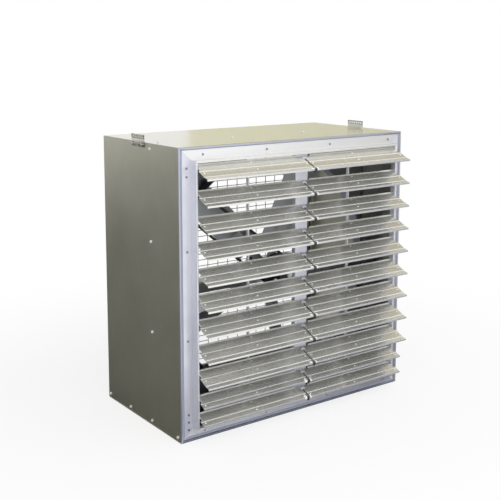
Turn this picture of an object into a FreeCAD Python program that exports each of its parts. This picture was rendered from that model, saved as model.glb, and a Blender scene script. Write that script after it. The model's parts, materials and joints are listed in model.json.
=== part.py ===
import FreeCAD, Part
import math
import os

# Belt-driven cabinet exhaust fan with a two-column gravity shutter, in millimetres.
# The origin is the middle of the cabinet's underside, +Z is up and air leaves towards -Y.

Vector = FreeCAD.Vector

# Cabinet of bent aluminium sheet
cabinet_width = 1054.0
cabinet_depth = 555.0
cabinet_sheet = 2.0
bend_radius = 1.5
rim_width = 8.0
rim_depth = 6.0
front_flange = 36.0
rear_flange = 40.0
corner_flange = 25.0
corner_relief = 3.0

# Shutter frame: four mitred members and a mullion
frame_side_gap = 15.7
frame_end_gap = 10.6
frame_sheet = 2.0
frame_flange = 34.3
frame_band = 9.6
band_projection = 30.7
return_depth = 21.7
mullion_width = 58.7
mullion_setback = 17.7
mullion_depth = 17.0
mullion_bend = 1.5

# Louvres, drawn half open; runs go towards the front and rises go up
full_louvres = 9
narrow_louvres = 2
full_pitch = 91.4
narrow_pitch = 65.5
first_pivot_drop = 15.5
last_pivot_rise = 41.4
pivot_setback = 6.7
blade_sheet = 1.2
blade_overlap = 9.2
blade_end_gap = 2.5
pivot_cover = 4.4
tail_run = 5.0
hem_lean = 2.0
hem_height = 5.5
top_run = 30.5
top_rise = 17.0
middle_run = 32.0
middle_rise = 15.0
low_run = 20.0
low_rise = 5.0
narrow_run = 21.0
narrow_rise = 8.0
lip_drop = 7.0
bead_half_width = 4.0
bead_height = 2.2
outer_notch_reach = 21.5
inner_notch_reach = 10.0
notch_gap = 1.5

# Louvre pivots and tie bars
pin_radius = 2.5
pin_sides = 6
pin_fit = 0.1
pin_stand_out = 3.0
clip_width = 8.0
clip_depth = 5.0
clip_reach = 14.0
bearing_half_width = 9.0
bearing_half_height = 6.0
bearing_stand_out = 15.0
bearing_gap = 2.0
bearing_pin_gap = 1.0
crank_radius = 32.0
crank_angle = -35.0
bracket_sheet = 2.0
bracket_margin = 5.0
tie_bar_thickness = 3.0
tie_bar_width = 12.0
tie_bar_leg = 12.0
tie_bar_end = 12.0
tie_bar_gap = 1.0

# Orifice panel with its drawn bell mouth
panel_setback = 222.0
panel_sheet = 2.0
panel_flange = 30.0
fan_diameter = 914.0
tip_clearance = 6.0
bell_radius = 25.0
throat_length = 37.0
ring_sides = 48

# Propeller
fan_setback = 205.0
blade_count = 5
blade_rest_angle = 136.0
root_radius = 105.0
blade_chord = 128.0
blade_pitch = 34.0
blade_camber = 9.0
blade_flat = 46.0
fan_blade_sheet = 2.5
hub_radius = 42.0
hub_length = 44.0
hub_sides = 24
arm_reach = 110.0
arm_width = 40.0
arm_sheet = 4.0
arm_gap = 0.3

# Shaft, bearings and struts
shaft_radius = 12.5
shaft_front = 56.0
shaft_length = 276.0
bore_fit = 0.05
front_bearing_setback = 88.0
rear_bearing_setback = 300.0
bearing_height = 36.5
bearing_width = 30.0
bearing_base_length = 116.0
bearing_base_height = 14.0
housing_radius = 31.0
housing_sides = 24
strut_width = 62.0
strut_height = 42.0
strut_sheet = 3.0
strut_bend = 3.0
bolt_spacing = 88.0
bolt_across = 15.0
bolt_head = 7.0

# Belt drive
belt_setback = 140.0
fan_pulley_radius = 65.0
motor_pulley_radius = 50.0
belt_top_width = 13.0
belt_bottom_width = 8.0
belt_above_pitch = 3.0
belt_below_pitch = 5.0
belt_clearance = 0.4
groove_floor = 2.0
pulley_cheek = 3.5
pulley_rim = 5.0
pulley_hub_radius = 24.0
pulley_hub_length = 32.0
pulley_sides = 24
belt_turn_steps = 15

# Motor, foot mounted on a bracket behind the orifice panel
motor_rise = 340.0
motor_foot_height = 88.9
motor_radius = 80.0
motor_length = 120.0
stator_bore = 45.0
rotor_gap = 1.0
rotor_length = 100.0
end_bell_length = 34.0
end_bell_taper = 16.0
motor_stand_off = 12.0
motor_shaft_radius = 8.0
motor_shaft_hole = 24.0
motor_sides = 24
end_bore_gap = 0.3
motor_base_length = 110.0
motor_base_width = 146.0
motor_base_sheet = 4.0
saddle_width = 96.0
bracket_plate = 3.0
bracket_wall_gap = 4.0
bracket_height = 170.0
bracket_length = 190.0
bracket_leg = 66.0
bracket_bend = 3.0
box_width = 58.0
box_length = 84.0
box_depth = 36.0
gland_radius = 11.0
gland_length = 22.0
gland_sides = 12
foot_bolt_inset = 12.0

# Hanger plates on the cabinet sides
hanger_setback = 277.5
hanger_width = 90.0
hanger_height = 44.0
hanger_rise = 26.0
hanger_sheet = 3.0
hanger_holes = 6
hanger_hole_radius = 3.5
hanger_hole_sides = 6
hanger_hole_spacing = 14.0
hanger_hole_drop = 8.0
hanger_bolt_inset = 10.0
hanger_bolt_across = 11.0
hanger_bolt_head = 5.0

# Intake guard of welded wire
wire_radius = 2.0
wire_sides = 4
vertical_wire_pitch = 50.8
level_wire_pitch = 25.4
guard_overlap = 25.0

# Places worked out from the sizes above
half_width = cabinet_width / 2
front = -cabinet_depth / 2
back = cabinet_depth / 2
frame_member = frame_flange + frame_band
opening_half = half_width - frame_side_gap - frame_member
louvre_drop = full_pitch * full_louvres + narrow_pitch * (narrow_louvres - 1)
opening_bottom = frame_end_gap + frame_member
opening_top = opening_bottom + last_pivot_rise + louvre_drop + first_pivot_drop
cabinet_height = opening_top + opening_bottom
frame_seat = front + rim_depth
band_front = front - band_projection
mullion_front = band_front + mullion_setback
pivot_y = band_front + pivot_setback
shaft_z = cabinet_height / 2
panel_front = front + panel_setback
panel_back = panel_front + panel_sheet
belt_y = front + belt_setback
motor_x = bracket_wall_gap + cabinet_sheet + bracket_plate + motor_foot_height - half_width
motor_z = shaft_z + motor_rise


def straight_wire(points):
    return Part.makePolygon(points + [points[0]])


def prism(points, travel):
    return Part.Face(straight_wire(points)).extrude(travel)


def prism_along_x(outline, low, high):
    points = [Vector(low, y, z) for y, z in outline]
    return prism(points, Vector(high - low, 0, 0))


def prism_along_y(outline, low, high):
    points = [Vector(x, low, z) for x, z in outline]
    return prism(points, Vector(0, high - low, 0))


def block(x_low, x_high, y_low, y_high, z_low, z_high):
    corner = Vector(x_low, y_low, z_low)
    return Part.makeBox(x_high - x_low, y_high - y_low, z_high - z_low, corner)


def rod_along_y(x, z, radius, low, high):
    return Part.makeCylinder(radius, high - low, Vector(x, low, z), Vector(0, 1, 0))


def polygon_ring(center, radius, sides):
    # Corner points of a regular polygon whose flats face the axes.
    turn = 2 * math.pi / sides
    corners = []
    for index in range(sides):
        angle = turn * (index + 0.5)
        corners.append((center[0] + radius * math.cos(angle), center[1] + radius * math.sin(angle)))
    return corners


def pin_along_x(y, z, radius, low, high):
    return prism_along_x(polygon_ring((y, z), radius, pin_sides), low, high)


def pin_hole_along_x(y, z, low, high):
    # The flats of the hole clear the corners of the pin.
    return pin_along_x(y, z, corner_radius(pin_radius + pin_fit, pin_sides), low, high)


def closed_grid(rings):
    # A solid between rings of points; each ring and the row of rings join up on themselves.
    faces = []
    for index, ring in enumerate(rings):
        other = rings[(index + 1) % len(rings)]
        for step, point in enumerate(ring):
            after = (step + 1) % len(ring)
            corners = [point, ring[after], other[after], other[step]]
            faces.append(Part.Face(straight_wire(corners)))
    solid = Part.makeSolid(Part.makeShell(faces))
    if solid.Volume < 0:
        solid.reverse()
    return solid


def faceted_ring(outline, x, z, sides):
    # A ring about an axis along Y with flat sides; the outline gives radius and y.
    rings = []
    for radius, y in outline:
        rings.append([Vector(a, y, b) for a, b in polygon_ring((x, z), radius, sides)])
    return closed_grid(rings)


def corner_radius(radius, sides):
    # Corner radius of a flat-sided hole that clears a round of this radius.
    return radius / math.cos(math.pi / sides)


def fused(shapes):
    return shapes[0].multiFuse(shapes[1:]).removeSplitter()


def mirrored(shape):
    return shape.mirror(Vector(0, 0, 0), Vector(1, 0, 0))


def save(name, solids):
    shape = solids[0] if len(solids) == 1 else Part.makeCompound(solids)
    shape.exportStep("parts/" + name + ".step")


def unit(start, end):
    length = math.hypot(end[0] - start[0], end[1] - start[1])
    return ((end[0] - start[0]) / length, (end[1] - start[1]) / length)


def offset_path(path, distance):
    # The path moved to its left by a distance, with mitred corners.
    moved = []
    for index, point in enumerate(path):
        before = unit(path[index - 1], point) if index > 0 else unit(point, path[1])
        after = unit(point, path[index + 1]) if index < len(path) - 1 else before
        normal = (-before[1] - after[1], before[0] + after[0])
        scale = distance / (1 + before[0] * after[0] + before[1] * after[1])
        moved.append((point[0] + normal[0] * scale, point[1] + normal[1] * scale))
    return moved


def corner_turn(path, index):
    before = unit(path[index - 1], path[index])
    after = unit(path[index], path[index + 1])
    return before[0] * after[1] - before[1] * after[0]


def bent_wire(points, radii, place):
    # A closed outline whose bends are drawn with two flats; place puts a flat point into space.
    corners = []
    count = len(points)
    for index, point in enumerate(points):
        radius = radii[index]
        if radius == 0:
            corners.append(place(*point))
            continue
        towards_last = unit(point, points[index - 1])
        towards_next = unit(point, points[(index + 1) % count])
        spread = towards_last[0] * towards_next[0] + towards_last[1] * towards_next[1]
        half_angle = math.acos(max(-1.0, min(1.0, spread))) / 2
        reach = radius / math.tan(half_angle)
        bisector = unit((0, 0), (towards_last[0] + towards_next[0], towards_last[1] + towards_next[1]))
        depth = radius / math.sin(half_angle) - radius
        corners.append(place(point[0] + towards_last[0] * reach, point[1] + towards_last[1] * reach))
        corners.append(place(point[0] + bisector[0] * depth, point[1] + bisector[1] * depth))
        corners.append(place(point[0] + towards_next[0] * reach, point[1] + towards_next[1] * reach))
    return straight_wire(corners)


def sheet_face(path, thickness, bend, place):
    # The section of a bent sheet that lies to the left of its path.
    inner = offset_path(path, thickness)
    path_radii = [0]
    inner_radii = [0]
    for index in range(1, len(path) - 1):
        turns_left = corner_turn(path, index) > 0
        path_radii.append(bend + thickness if turns_left else bend)
        inner_radii.append(bend if turns_left else bend + thickness)
    path_radii.append(0)
    inner_radii.append(0)
    wire = bent_wire(path + inner[::-1], path_radii + inner_radii[::-1], place)
    return Part.Face(wire)


def ring_member(path, thickness, bend, side, half, low, high):
    # One mitred side of a rectangular ring; the path gives inset and depth.
    reach = min(half, (high - low) / 2) - 1
    if side in ("left", "right"):
        sign = -1 if side == "left" else 1
        face = sheet_face(path, thickness, bend, lambda inset, y: Vector(sign * (half - inset), y, low))
        bar = face.extrude(Vector(0, 0, high - low))
        outline = [(sign * half, low), (sign * half, high)]
        outline += [(sign * (half - reach), high - reach), (sign * (half - reach), low + reach)]
    else:
        edge = high if side == "top" else low
        sign = -1 if side == "top" else 1
        face = sheet_face(path, thickness, bend, lambda inset, y: Vector(-half, y, edge + sign * inset))
        bar = face.extrude(Vector(2 * half, 0, 0))
        outline = [(-half, edge), (half, edge)]
        outline += [(half - reach, edge + sign * reach), (reach - half, edge + sign * reach)]
    depths = [y for inset, y in path]
    wedge = prism_along_y(outline, min(depths) - thickness - 1, max(depths) + thickness + 1)
    return bar.common(wedge)


def hex_head_along_x(x, y, z, across, thickness):
    radius = across / math.sqrt(3)
    return prism_along_x(polygon_ring((y, z), radius, 6), x, x + thickness)


# Cabinet panels: each wall has a stepped front flange and a plain rear flange
flange_end = rim_width + front_flange
cabinet_path = [
    (rear_flange, back),
    (0, back),
    (0, front),
    (rim_width, front),
    (rim_width, front + rim_depth),
    (flange_end, front + rim_depth),
]


def cabinet_panel(side):
    return ring_member(cabinet_path, cabinet_sheet, bend_radius, side, half_width, 0, cabinet_height)


def corner_strips(z_low, z_high):
    # Turned flanges of the top and bottom panels, lying against the side panels.
    outer = half_width - cabinet_sheet
    y_low = front + rim_depth + cabinet_sheet + corner_relief
    y_high = back - cabinet_sheet - corner_relief
    strip = block(outer - cabinet_sheet, outer, y_low, y_high, z_low, z_high)
    return [strip, mirrored(strip)]


def build_cabinet():
    save("side_panel_left", [cabinet_panel("left")])
    save("side_panel_right", [cabinet_panel("right")])
    inside_top = cabinet_height - cabinet_sheet
    top_strips = corner_strips(inside_top - corner_flange, inside_top)
    save("top_panel", [fused([cabinet_panel("top")] + top_strips)])
    bottom_strips = corner_strips(cabinet_sheet, cabinet_sheet + corner_flange)
    save("bottom_panel", [fused([cabinet_panel("bottom")] + bottom_strips)])


# Shutter frame
def pivot_heights():
    heights = [opening_top - first_pivot_drop - full_pitch * index for index in range(full_louvres + 1)]
    for index in range(narrow_louvres - 1):
        heights.append(heights[-1] - narrow_pitch)
    return heights


frame_path = [
    (0, frame_seat - frame_sheet),
    (frame_flange, frame_seat - frame_sheet),
    (frame_flange, band_front),
    (frame_member, band_front),
    (frame_member, band_front + return_depth),
]


def frame_bar(side):
    half = half_width - frame_side_gap
    high = cabinet_height - frame_end_gap
    return ring_member(frame_path, frame_sheet, bend_radius, side, half, frame_end_gap, high)


def build_shutter_frame():
    wall_low = opening_half - frame_sheet
    wall_high = opening_half + frame_sheet * 2
    holes = [pin_hole_along_x(pivot_y, z, wall_low, wall_high) for z in pivot_heights()]
    right_stile = frame_bar("right").cut(Part.makeCompound(holes))
    save("shutter_stile_right", [right_stile])
    save("shutter_stile_left", [mirrored(right_stile)])
    save("shutter_rail_top", [frame_bar("top")])
    save("shutter_rail_bottom", [frame_bar("bottom")])
    half = mullion_width / 2
    rear = mullion_front + mullion_depth
    path = [(half, rear), (half, mullion_front), (-half, mullion_front), (-half, rear)]
    face = sheet_face(path[::-1], frame_sheet, mullion_bend, lambda x, y: Vector(x, y, opening_bottom))
    save("shutter_mullion", [face.extrude(Vector(0, 0, opening_top - opening_bottom))])


def build_center_bearings():
    blocks = []
    for z in pivot_heights():
        body = block(
            -bearing_half_width, bearing_half_width,
            mullion_front - bearing_stand_out, mullion_front,
            z - bearing_half_height, z + bearing_half_height,
        )
        blocks.append(body.cut(pin_hole_along_x(pivot_y, z, -bearing_half_width, bearing_half_width)))
    save("center_bearings", blocks)


# Louvre blades; the outline is measured from the pivot as (depth, height)
def raised_bead(before, ridge, after):
    back_along = unit(ridge, before)
    on_along = unit(ridge, after)
    along = unit(before, after)
    return [
        (ridge[0] + back_along[0] * bead_half_width, ridge[1] + back_along[1] * bead_half_width),
        (ridge[0] + along[1] * bead_height, ridge[1] - along[0] * bead_height),
        (ridge[0] + on_along[0] * bead_half_width, ridge[1] + on_along[1] * bead_half_width),
    ]


tail = (tail_run, pivot_cover + tail_run * top_rise / top_run)
hem = (tail[0] + hem_lean, tail[1] + hem_height)
first_ridge = (tail[0] - top_run, tail[1] - top_rise)
second_ridge = (first_ridge[0] - middle_run, first_ridge[1] - middle_rise)
full_lip = (second_ridge[0] - low_run, second_ridge[1] - low_rise)
narrow_lip = (first_ridge[0] - narrow_run, first_ridge[1] - narrow_rise)
crank = (
    crank_radius * math.cos(math.radians(crank_angle)),
    crank_radius * math.sin(math.radians(crank_angle)),
)


def blade_path(narrow):
    if narrow:
        ridges = raised_bead(tail, first_ridge, narrow_lip)
        lip = narrow_lip
    else:
        ridges = raised_bead(tail, first_ridge, second_ridge)
        ridges += raised_bead(first_ridge, second_ridge, full_lip)
        lip = full_lip
    return [hem, tail] + ridges + [lip, (lip[0], lip[1] - lip_drop)]


def louvre_blade(path, z):
    # The upper strip is cut short to pass between the frame wall and the middle bearing.
    outer = opening_half + blade_overlap
    section = path + offset_path(path, blade_sheet)[::-1]
    outline = [(pivot_y + y, z + height) for y, height in section]
    sheet = prism_along_x(outline, blade_end_gap, outer)
    rear = pivot_y + hem[0] + blade_sheet * 2
    floor = z + path[-1][1] - 1
    ceiling = z + hem[1] + 1
    outer_notch = block(opening_half - notch_gap, outer + 1, pivot_y - outer_notch_reach, rear, floor, ceiling)
    inner_notch = block(
        0, bearing_half_width + bearing_gap,
        pivot_y - inner_notch_reach, rear, floor, ceiling,
    )
    hem_notch = block(
        0, mullion_width / 2 + bearing_gap,
        pivot_y, rear, z + tail[1], ceiling,
    )
    return sheet.cut(Part.makeCompound([outer_notch, inner_notch])).cut(hem_notch)


def along_path(path, index, distance):
    step = unit(path[index], path[index + 1])
    return (path[index][0] + step[0] * distance, path[index][1] + step[1] * distance)


def pivot_clip(path, z, low, high, pin_low, pin_high):
    # Moulded end clip: it lies under the top strip and carries the pivot pin.
    under = offset_path(path, blade_sheet)
    start = along_path(under, 1, tail_run - pin_radius)
    end = along_path(under, 4, clip_reach)
    down = unit(under[4], under[5])
    outline = [
        start,
        under[2],
        under[4],
        end,
        (end[0] - down[1] * clip_depth, end[1] + down[0] * clip_depth),
        (-pin_radius * 2, -pin_radius * 2),
        (pin_radius, -pin_radius * 2),
    ]
    body = prism_along_x([(pivot_y + y, z + height) for y, height in outline], low, high)
    return fused([body, pin_along_x(pivot_y, z, pin_radius, pin_low, pin_high)])


def tie_bracket(path, z, column_middle):
    # Plate riveted under the blade, with the crank pin of the tie bar.
    under = offset_path(path, blade_sheet)
    start = along_path(under, 1, tail_run - pin_radius)
    end = along_path(under, 4, clip_reach)
    outline = [
        start,
        under[2],
        under[4],
        end,
        (end[0] + bracket_margin, end[1] - bracket_margin),
        (crank[0] - bracket_margin, crank[1] - bracket_margin),
        (crank[0] + bracket_margin, crank[1] - bracket_margin),
        (crank[0] + bracket_margin, crank[1] + bracket_margin),
    ]
    high = column_middle - tie_bar_gap
    plate = prism_along_x(
        [(pivot_y + y, z + height) for y, height in outline],
        high - bracket_sheet, high,
    )
    pin_end = column_middle + tie_bar_thickness + tie_bar_gap
    pin = pin_along_x(pivot_y + crank[0], z + crank[1], pin_radius, high - bracket_sheet, pin_end)
    return fused([plate, pin])


def column_middle():
    return (opening_half + blade_overlap + blade_end_gap) / 2


def one_column_left(shape):
    # Both columns have the same linkage, so the left one isn't a mirror image.
    moved = shape.copy()
    moved.translate(Vector(-2 * column_middle(), 0, 0))
    return moved


def build_louvres():
    outer_end = opening_half - notch_gap
    inner_end = bearing_half_width + bearing_gap
    for index, z in enumerate(pivot_heights()):
        path = blade_path(index >= full_louvres)
        solids = [
            louvre_blade(path, z),
            pivot_clip(
                path, z, outer_end - clip_width, outer_end,
                outer_end - clip_width, opening_half + frame_sheet + pin_stand_out,
            ),
            pivot_clip(path, z, inner_end, inner_end + clip_width, bearing_pin_gap, inner_end + clip_width),
        ]
        bracket = tie_bracket(path, z, column_middle())
        number = str(index + 1)
        save("louvre_right_" + number, solids + [bracket])
        save("louvre_left_" + number, [mirrored(solid) for solid in solids] + [one_column_left(bracket)])


def build_tie_bars():
    # An angle bar per column: the pins pass through its web, and its leg faces the front.
    heights = pivot_heights()
    low = column_middle()
    high = low + tie_bar_thickness
    y = pivot_y + crank[0]
    bottom = heights[-1] + crank[1] - tie_bar_end
    top = heights[0] + crank[1] + tie_bar_end
    rear = y + tie_bar_width / 2
    web = block(low, high, y - tie_bar_width / 2, rear, bottom, top)
    leg = block(low, low + tie_bar_leg, rear - tie_bar_thickness, rear, bottom, top)
    holes = [pin_hole_along_x(y, z + crank[1], low, high) for z in heights]
    bar = fused([web, leg]).cut(Part.makeCompound(holes))
    save("tie_bar_right", [bar])
    save("tie_bar_left", [one_column_left(bar)])


# Orifice panel
orifice_radius = fan_diameter / 2 + tip_clearance
bell_center_radius = orifice_radius + panel_sheet + bell_radius


def build_throat_ring():
    # Bell mouth from the panel's edge to the straight throat, with two flats to the bend.
    throat_y = panel_front - bell_radius
    lip_y = throat_y - throat_length
    air_side = []
    panel_side = []
    for step in range(3):
        angle = math.pi / 4 * step
        for side, size in ((air_side, bell_radius + panel_sheet), (panel_side, bell_radius)):
            side.append((bell_center_radius - size * math.cos(angle), throat_y + size * math.sin(angle)))
    lip = [(orifice_radius + panel_sheet, lip_y), (orifice_radius, lip_y)]
    outline = air_side + panel_side[::-1] + lip
    save("throat_ring", [faceted_ring(outline, 0, shaft_z, ring_sides)])


def build_orifice_panel():
    half = half_width - cabinet_sheet
    low = cabinet_sheet
    high = cabinet_height - cabinet_sheet
    relief = corner_flange + corner_relief
    plate = block(-half, half, panel_front, panel_back, low, high)
    flange_back = panel_back + panel_flange
    side = block(half - panel_sheet, half, panel_back, flange_back, low + relief, high - relief)
    over = block(relief - half, half - relief, panel_back, flange_back, high - panel_sheet, high)
    under = block(relief - half, half - relief, panel_back, flange_back, low, low + panel_sheet)
    corners = []
    for x in (-half, half - relief):
        for z in (low, high - relief):
            corners.append(block(x, x + relief, panel_front, panel_back, z, z + relief))
    rim = polygon_ring((0, shaft_z), bell_center_radius, ring_sides)
    opening = prism_along_y(rim, panel_front, panel_back)
    hole = polygon_ring((motor_x, motor_z), motor_shaft_hole, motor_sides)
    shaft_hole = prism_along_y(hole, panel_front, panel_back)
    plate = plate.cut(Part.makeCompound(corners + [opening, shaft_hole]))
    save("orifice_panel", [fused([plate, side, mirrored(side), over, under])])


# Propeller
def blade_bar(path, thickness, x_low, x_high):
    # A bent strip along +X; the path gives the place across the blade and the lift from its chord.
    slope = math.radians(blade_pitch)
    points = []
    for along, lift in path + offset_path(path, -thickness)[::-1]:
        tangent = along * math.cos(slope) - lift * math.sin(slope)
        axial = along * math.sin(slope) + lift * math.cos(slope)
        points.append(Vector(x_low, front + fan_setback + axial, shaft_z + tangent))
    return prism(points, Vector(x_high - x_low, 0, 0))


def turned(shape, angle):
    copy = shape.copy()
    copy.rotate(Vector(0, 0, shaft_z), Vector(0, -1, 0), angle)
    return copy


def build_propeller():
    middle = front + fan_setback
    tip = fan_diameter / 2
    half = blade_chord / 2
    camber_path = [(-half, 0), (-blade_flat / 2, blade_camber), (blade_flat / 2, blade_camber), (half, 0)]
    blade = blade_bar(camber_path, fan_blade_sheet, root_radius, tip + tip_clearance)
    blade = blade.common(rod_along_y(0, shaft_z, tip, middle - half, middle + half))
    arm_lift = blade_camber - fan_blade_sheet - arm_gap
    arm_path = [(-arm_width / 2, arm_lift), (arm_width / 2, arm_lift)]
    arm = blade_bar(arm_path, arm_sheet, hub_radius - arm_sheet, root_radius + arm_reach)
    hub_low = middle - hub_length / 2
    hub_high = middle + hub_length / 2
    bore = corner_radius(shaft_radius + bore_fit, hub_sides)
    outline = [(bore, hub_low), (hub_radius, hub_low), (hub_radius, hub_high), (bore, hub_high)]
    spider = [faceted_ring(outline, 0, shaft_z, hub_sides)]
    for index in range(blade_count):
        angle = blade_rest_angle + 360 * index / blade_count
        save("fan_blade_" + str(index + 1), [turned(blade, angle)])
        spider.append(turned(arm, angle))
    save("propeller_spider", [fused(spider)])


# Shaft, bearings and struts
def build_bearing(name, setback):
    y_low = front + setback - bearing_width / 2
    y_high = front + setback + bearing_width / 2
    base_z = shaft_z - bearing_height
    half = bearing_base_length / 2
    base = block(-half, half, y_low, y_high, base_z, base_z + bearing_base_height)
    neck = block(-housing_radius, housing_radius, y_low, y_high, base_z, shaft_z)
    housing = prism_along_y(polygon_ring((0, shaft_z), housing_radius, housing_sides), y_low, y_high)
    bore = rod_along_y(0, shaft_z, shaft_radius + bore_fit, y_low, y_high)
    save(name, [fused([base, neck, housing]).cut(bore)])


def build_strut(name, setback):
    top = shaft_z - bearing_height
    half = strut_width / 2
    middle = front + setback
    path = [
        (middle + half, top - strut_height),
        (middle + half, top),
        (middle - half, top),
        (middle - half, top - strut_height),
    ]
    inside = half_width - cabinet_sheet
    face = sheet_face(path, strut_sheet, strut_bend, lambda y, z: Vector(-inside, y, z))
    save(name, [face.extrude(Vector(2 * inside, 0, 0))])


def bearing_bolts():
    bolts = []
    low = shaft_z - bearing_height + bearing_base_height
    for setback in (front_bearing_setback, rear_bearing_setback):
        for x in (-bolt_spacing / 2, bolt_spacing / 2):
            ring = polygon_ring((x, front + setback), bolt_across / math.sqrt(3), 6)
            points = [Vector(a, b, low) for a, b in ring]
            bolts.append(prism(points, Vector(0, 0, bolt_head)))
    return bolts


def build_shaft_line():
    start = front + shaft_front
    save("fan_shaft", [rod_along_y(0, shaft_z, shaft_radius, start, start + shaft_length)])
    build_bearing("bearing_front", front_bearing_setback)
    build_bearing("bearing_rear", rear_bearing_setback)
    build_strut("strut_front", front_bearing_setback)
    build_strut("strut_rear", rear_bearing_setback)


# Belt drive
def belt_half_width(height):
    # Half the belt's width at a height above the pitch line.
    share = (height + belt_below_pitch) / (belt_above_pitch + belt_below_pitch)
    return (belt_bottom_width + (belt_top_width - belt_bottom_width) * share) / 2


def pulley(x, z, pitch_radius, bore_radius):
    floor = pitch_radius - belt_below_pitch - groove_floor
    rim = pitch_radius + belt_above_pitch + belt_clearance
    floor_half = belt_half_width(-belt_below_pitch - groove_floor) + belt_clearance
    mouth_half = belt_half_width(belt_above_pitch + belt_clearance) + belt_clearance
    face_half = mouth_half + pulley_cheek
    hub = min(pulley_hub_radius, floor - pulley_rim)
    hub_half = pulley_hub_length / 2
    bore = corner_radius(bore_radius, pulley_sides)
    outline = [
        (bore, -hub_half),
        (hub, -hub_half),
        (hub, -face_half),
        (rim, -face_half),
        (rim, -mouth_half),
        (floor, -floor_half),
        (floor, floor_half),
        (rim, mouth_half),
        (rim, face_half),
        (hub, face_half),
        (hub, hub_half),
        (bore, hub_half),
    ]
    return faceted_ring([(radius, belt_y + along) for radius, along in outline], x, z, pulley_sides)


def belt_profile(x, z, pitch_radius, angle):
    # The belt's section where it meets a pulley at an angle in the XZ plane.
    corners = [
        (-belt_below_pitch, -belt_bottom_width / 2),
        (belt_above_pitch, -belt_top_width / 2),
        (belt_above_pitch, belt_top_width / 2),
        (-belt_below_pitch, belt_bottom_width / 2),
    ]
    points = []
    for height, along in corners:
        radius = pitch_radius + height
        points.append(Vector(x + radius * math.cos(angle), belt_y + along, z + radius * math.sin(angle)))
    return points


def build_belt():
    reach = math.hypot(motor_x, motor_rise)
    heading = math.atan2(motor_rise, motor_x)
    lean = math.pi / 2 - math.asin((fan_pulley_radius - motor_pulley_radius) / reach)
    fan_turn = (2 * math.pi - 2 * lean) / belt_turn_steps
    motor_turn = 2 * lean / belt_turn_steps
    sections = []
    for step in range(belt_turn_steps + 1):
        sections.append(belt_profile(0, shaft_z, fan_pulley_radius, heading + lean + fan_turn * step))
    for step in range(belt_turn_steps + 1):
        angle = heading - lean + motor_turn * step
        sections.append(belt_profile(motor_x, motor_z, motor_pulley_radius, angle))
    save("v_belt", [closed_grid(sections)])


def build_drive():
    save("fan_pulley", [pulley(0, shaft_z, fan_pulley_radius, shaft_radius + bore_fit)])
    save("motor_pulley", [pulley(motor_x, motor_z, motor_pulley_radius, motor_shaft_radius + bore_fit)])
    build_belt()


# Motor
motor_face = panel_back + bracket_plate + motor_stand_off
shell_front = motor_face + end_bell_length
shell_back = shell_front + motor_length
motor_middle = (shell_front + shell_back) / 2
plate_x = motor_x - motor_foot_height


def motor_drum(radius, low, high):
    return prism_along_y(polygon_ring((motor_x, motor_z), radius, motor_sides), low, high)


def end_bell(shell_y, tip_y):
    # Tapered end shield with its shaft hole.
    bore = corner_radius(motor_shaft_radius + end_bore_gap, motor_sides)
    outline = [
        (bore, shell_y),
        (motor_radius, shell_y),
        (motor_radius, shell_y + (tip_y - shell_y) / 3),
        (motor_radius - end_bell_taper, tip_y),
        (bore, tip_y),
    ]
    return faceted_ring(outline, motor_x, motor_z, motor_sides)


def motor_base():
    base = block(
        plate_x, plate_x + motor_base_sheet,
        motor_middle - motor_base_length / 2, motor_middle + motor_base_length / 2,
        motor_z - motor_base_width / 2, motor_z + motor_base_width / 2,
    )
    saddle = block(
        plate_x + motor_base_sheet, motor_x,
        shell_front + motor_base_sheet, shell_back - motor_base_sheet,
        motor_z - saddle_width / 2, motor_z + saddle_width / 2,
    )
    return fused([base, saddle.cut(motor_drum(motor_radius, shell_front, shell_back))])


def build_motor():
    shell = motor_drum(motor_radius, shell_front, shell_back)
    shell = shell.cut(motor_drum(stator_bore, shell_front, shell_back))
    save("motor_shell", [shell, motor_base()])
    rear_tip = shell_back + end_bell_length
    save("motor_end_bells", [end_bell(shell_front, motor_face), end_bell(shell_back, rear_tip)])
    shaft_start = belt_y - pulley_hub_length / 2
    shaft_end = rear_tip - motor_shaft_radius
    shaft = motor_drum(motor_shaft_radius, shaft_start, shaft_end)
    rotor_start = motor_middle - rotor_length / 2
    rotor = motor_drum(stator_bore - rotor_gap, rotor_start, rotor_start + rotor_length)
    save("motor_shaft", [fused([shaft, rotor])])


def build_motor_bracket():
    high = panel_back + bracket_length
    path = [
        (plate_x + bracket_leg, panel_back),
        (plate_x - bracket_plate, panel_back),
        (plate_x - bracket_plate, high),
    ]
    bottom = motor_z - bracket_height / 2
    face = sheet_face(path[::-1], bracket_plate, bracket_bend, lambda x, y: Vector(x, y, bottom))
    save("motor_bracket", [face.extrude(Vector(0, 0, bracket_height))])


def motor_bolts():
    bolts = []
    across_y = motor_base_length / 2 - foot_bolt_inset
    across_z = motor_base_width / 2 - foot_bolt_inset
    x = plate_x + motor_base_sheet
    for y in (motor_middle - across_y, motor_middle + across_y):
        for z in (motor_z - across_z, motor_z + across_z):
            bolts.append(hex_head_along_x(x, y, z, bolt_across, bolt_head))
    return bolts


def build_conduit_box():
    # Terminal box on top of the motor, with the gland for its supply lead.
    half = box_width / 2
    box_top = motor_z + motor_radius + box_depth
    start = motor_middle + box_length / 2
    body = block(motor_x - half, motor_x + half, start - box_length, start, motor_z, box_top)
    body = body.cut(motor_drum(motor_radius, shell_front, shell_back))
    gland_z = box_top - box_depth / 2
    ends = [start, start + gland_length]
    outline = [(gland_radius / 2, y) for y in ends] + [(gland_radius, y) for y in ends[::-1]]
    save("conduit_box", [body, faceted_ring(outline, motor_x, gland_z, gland_sides)])


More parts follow.
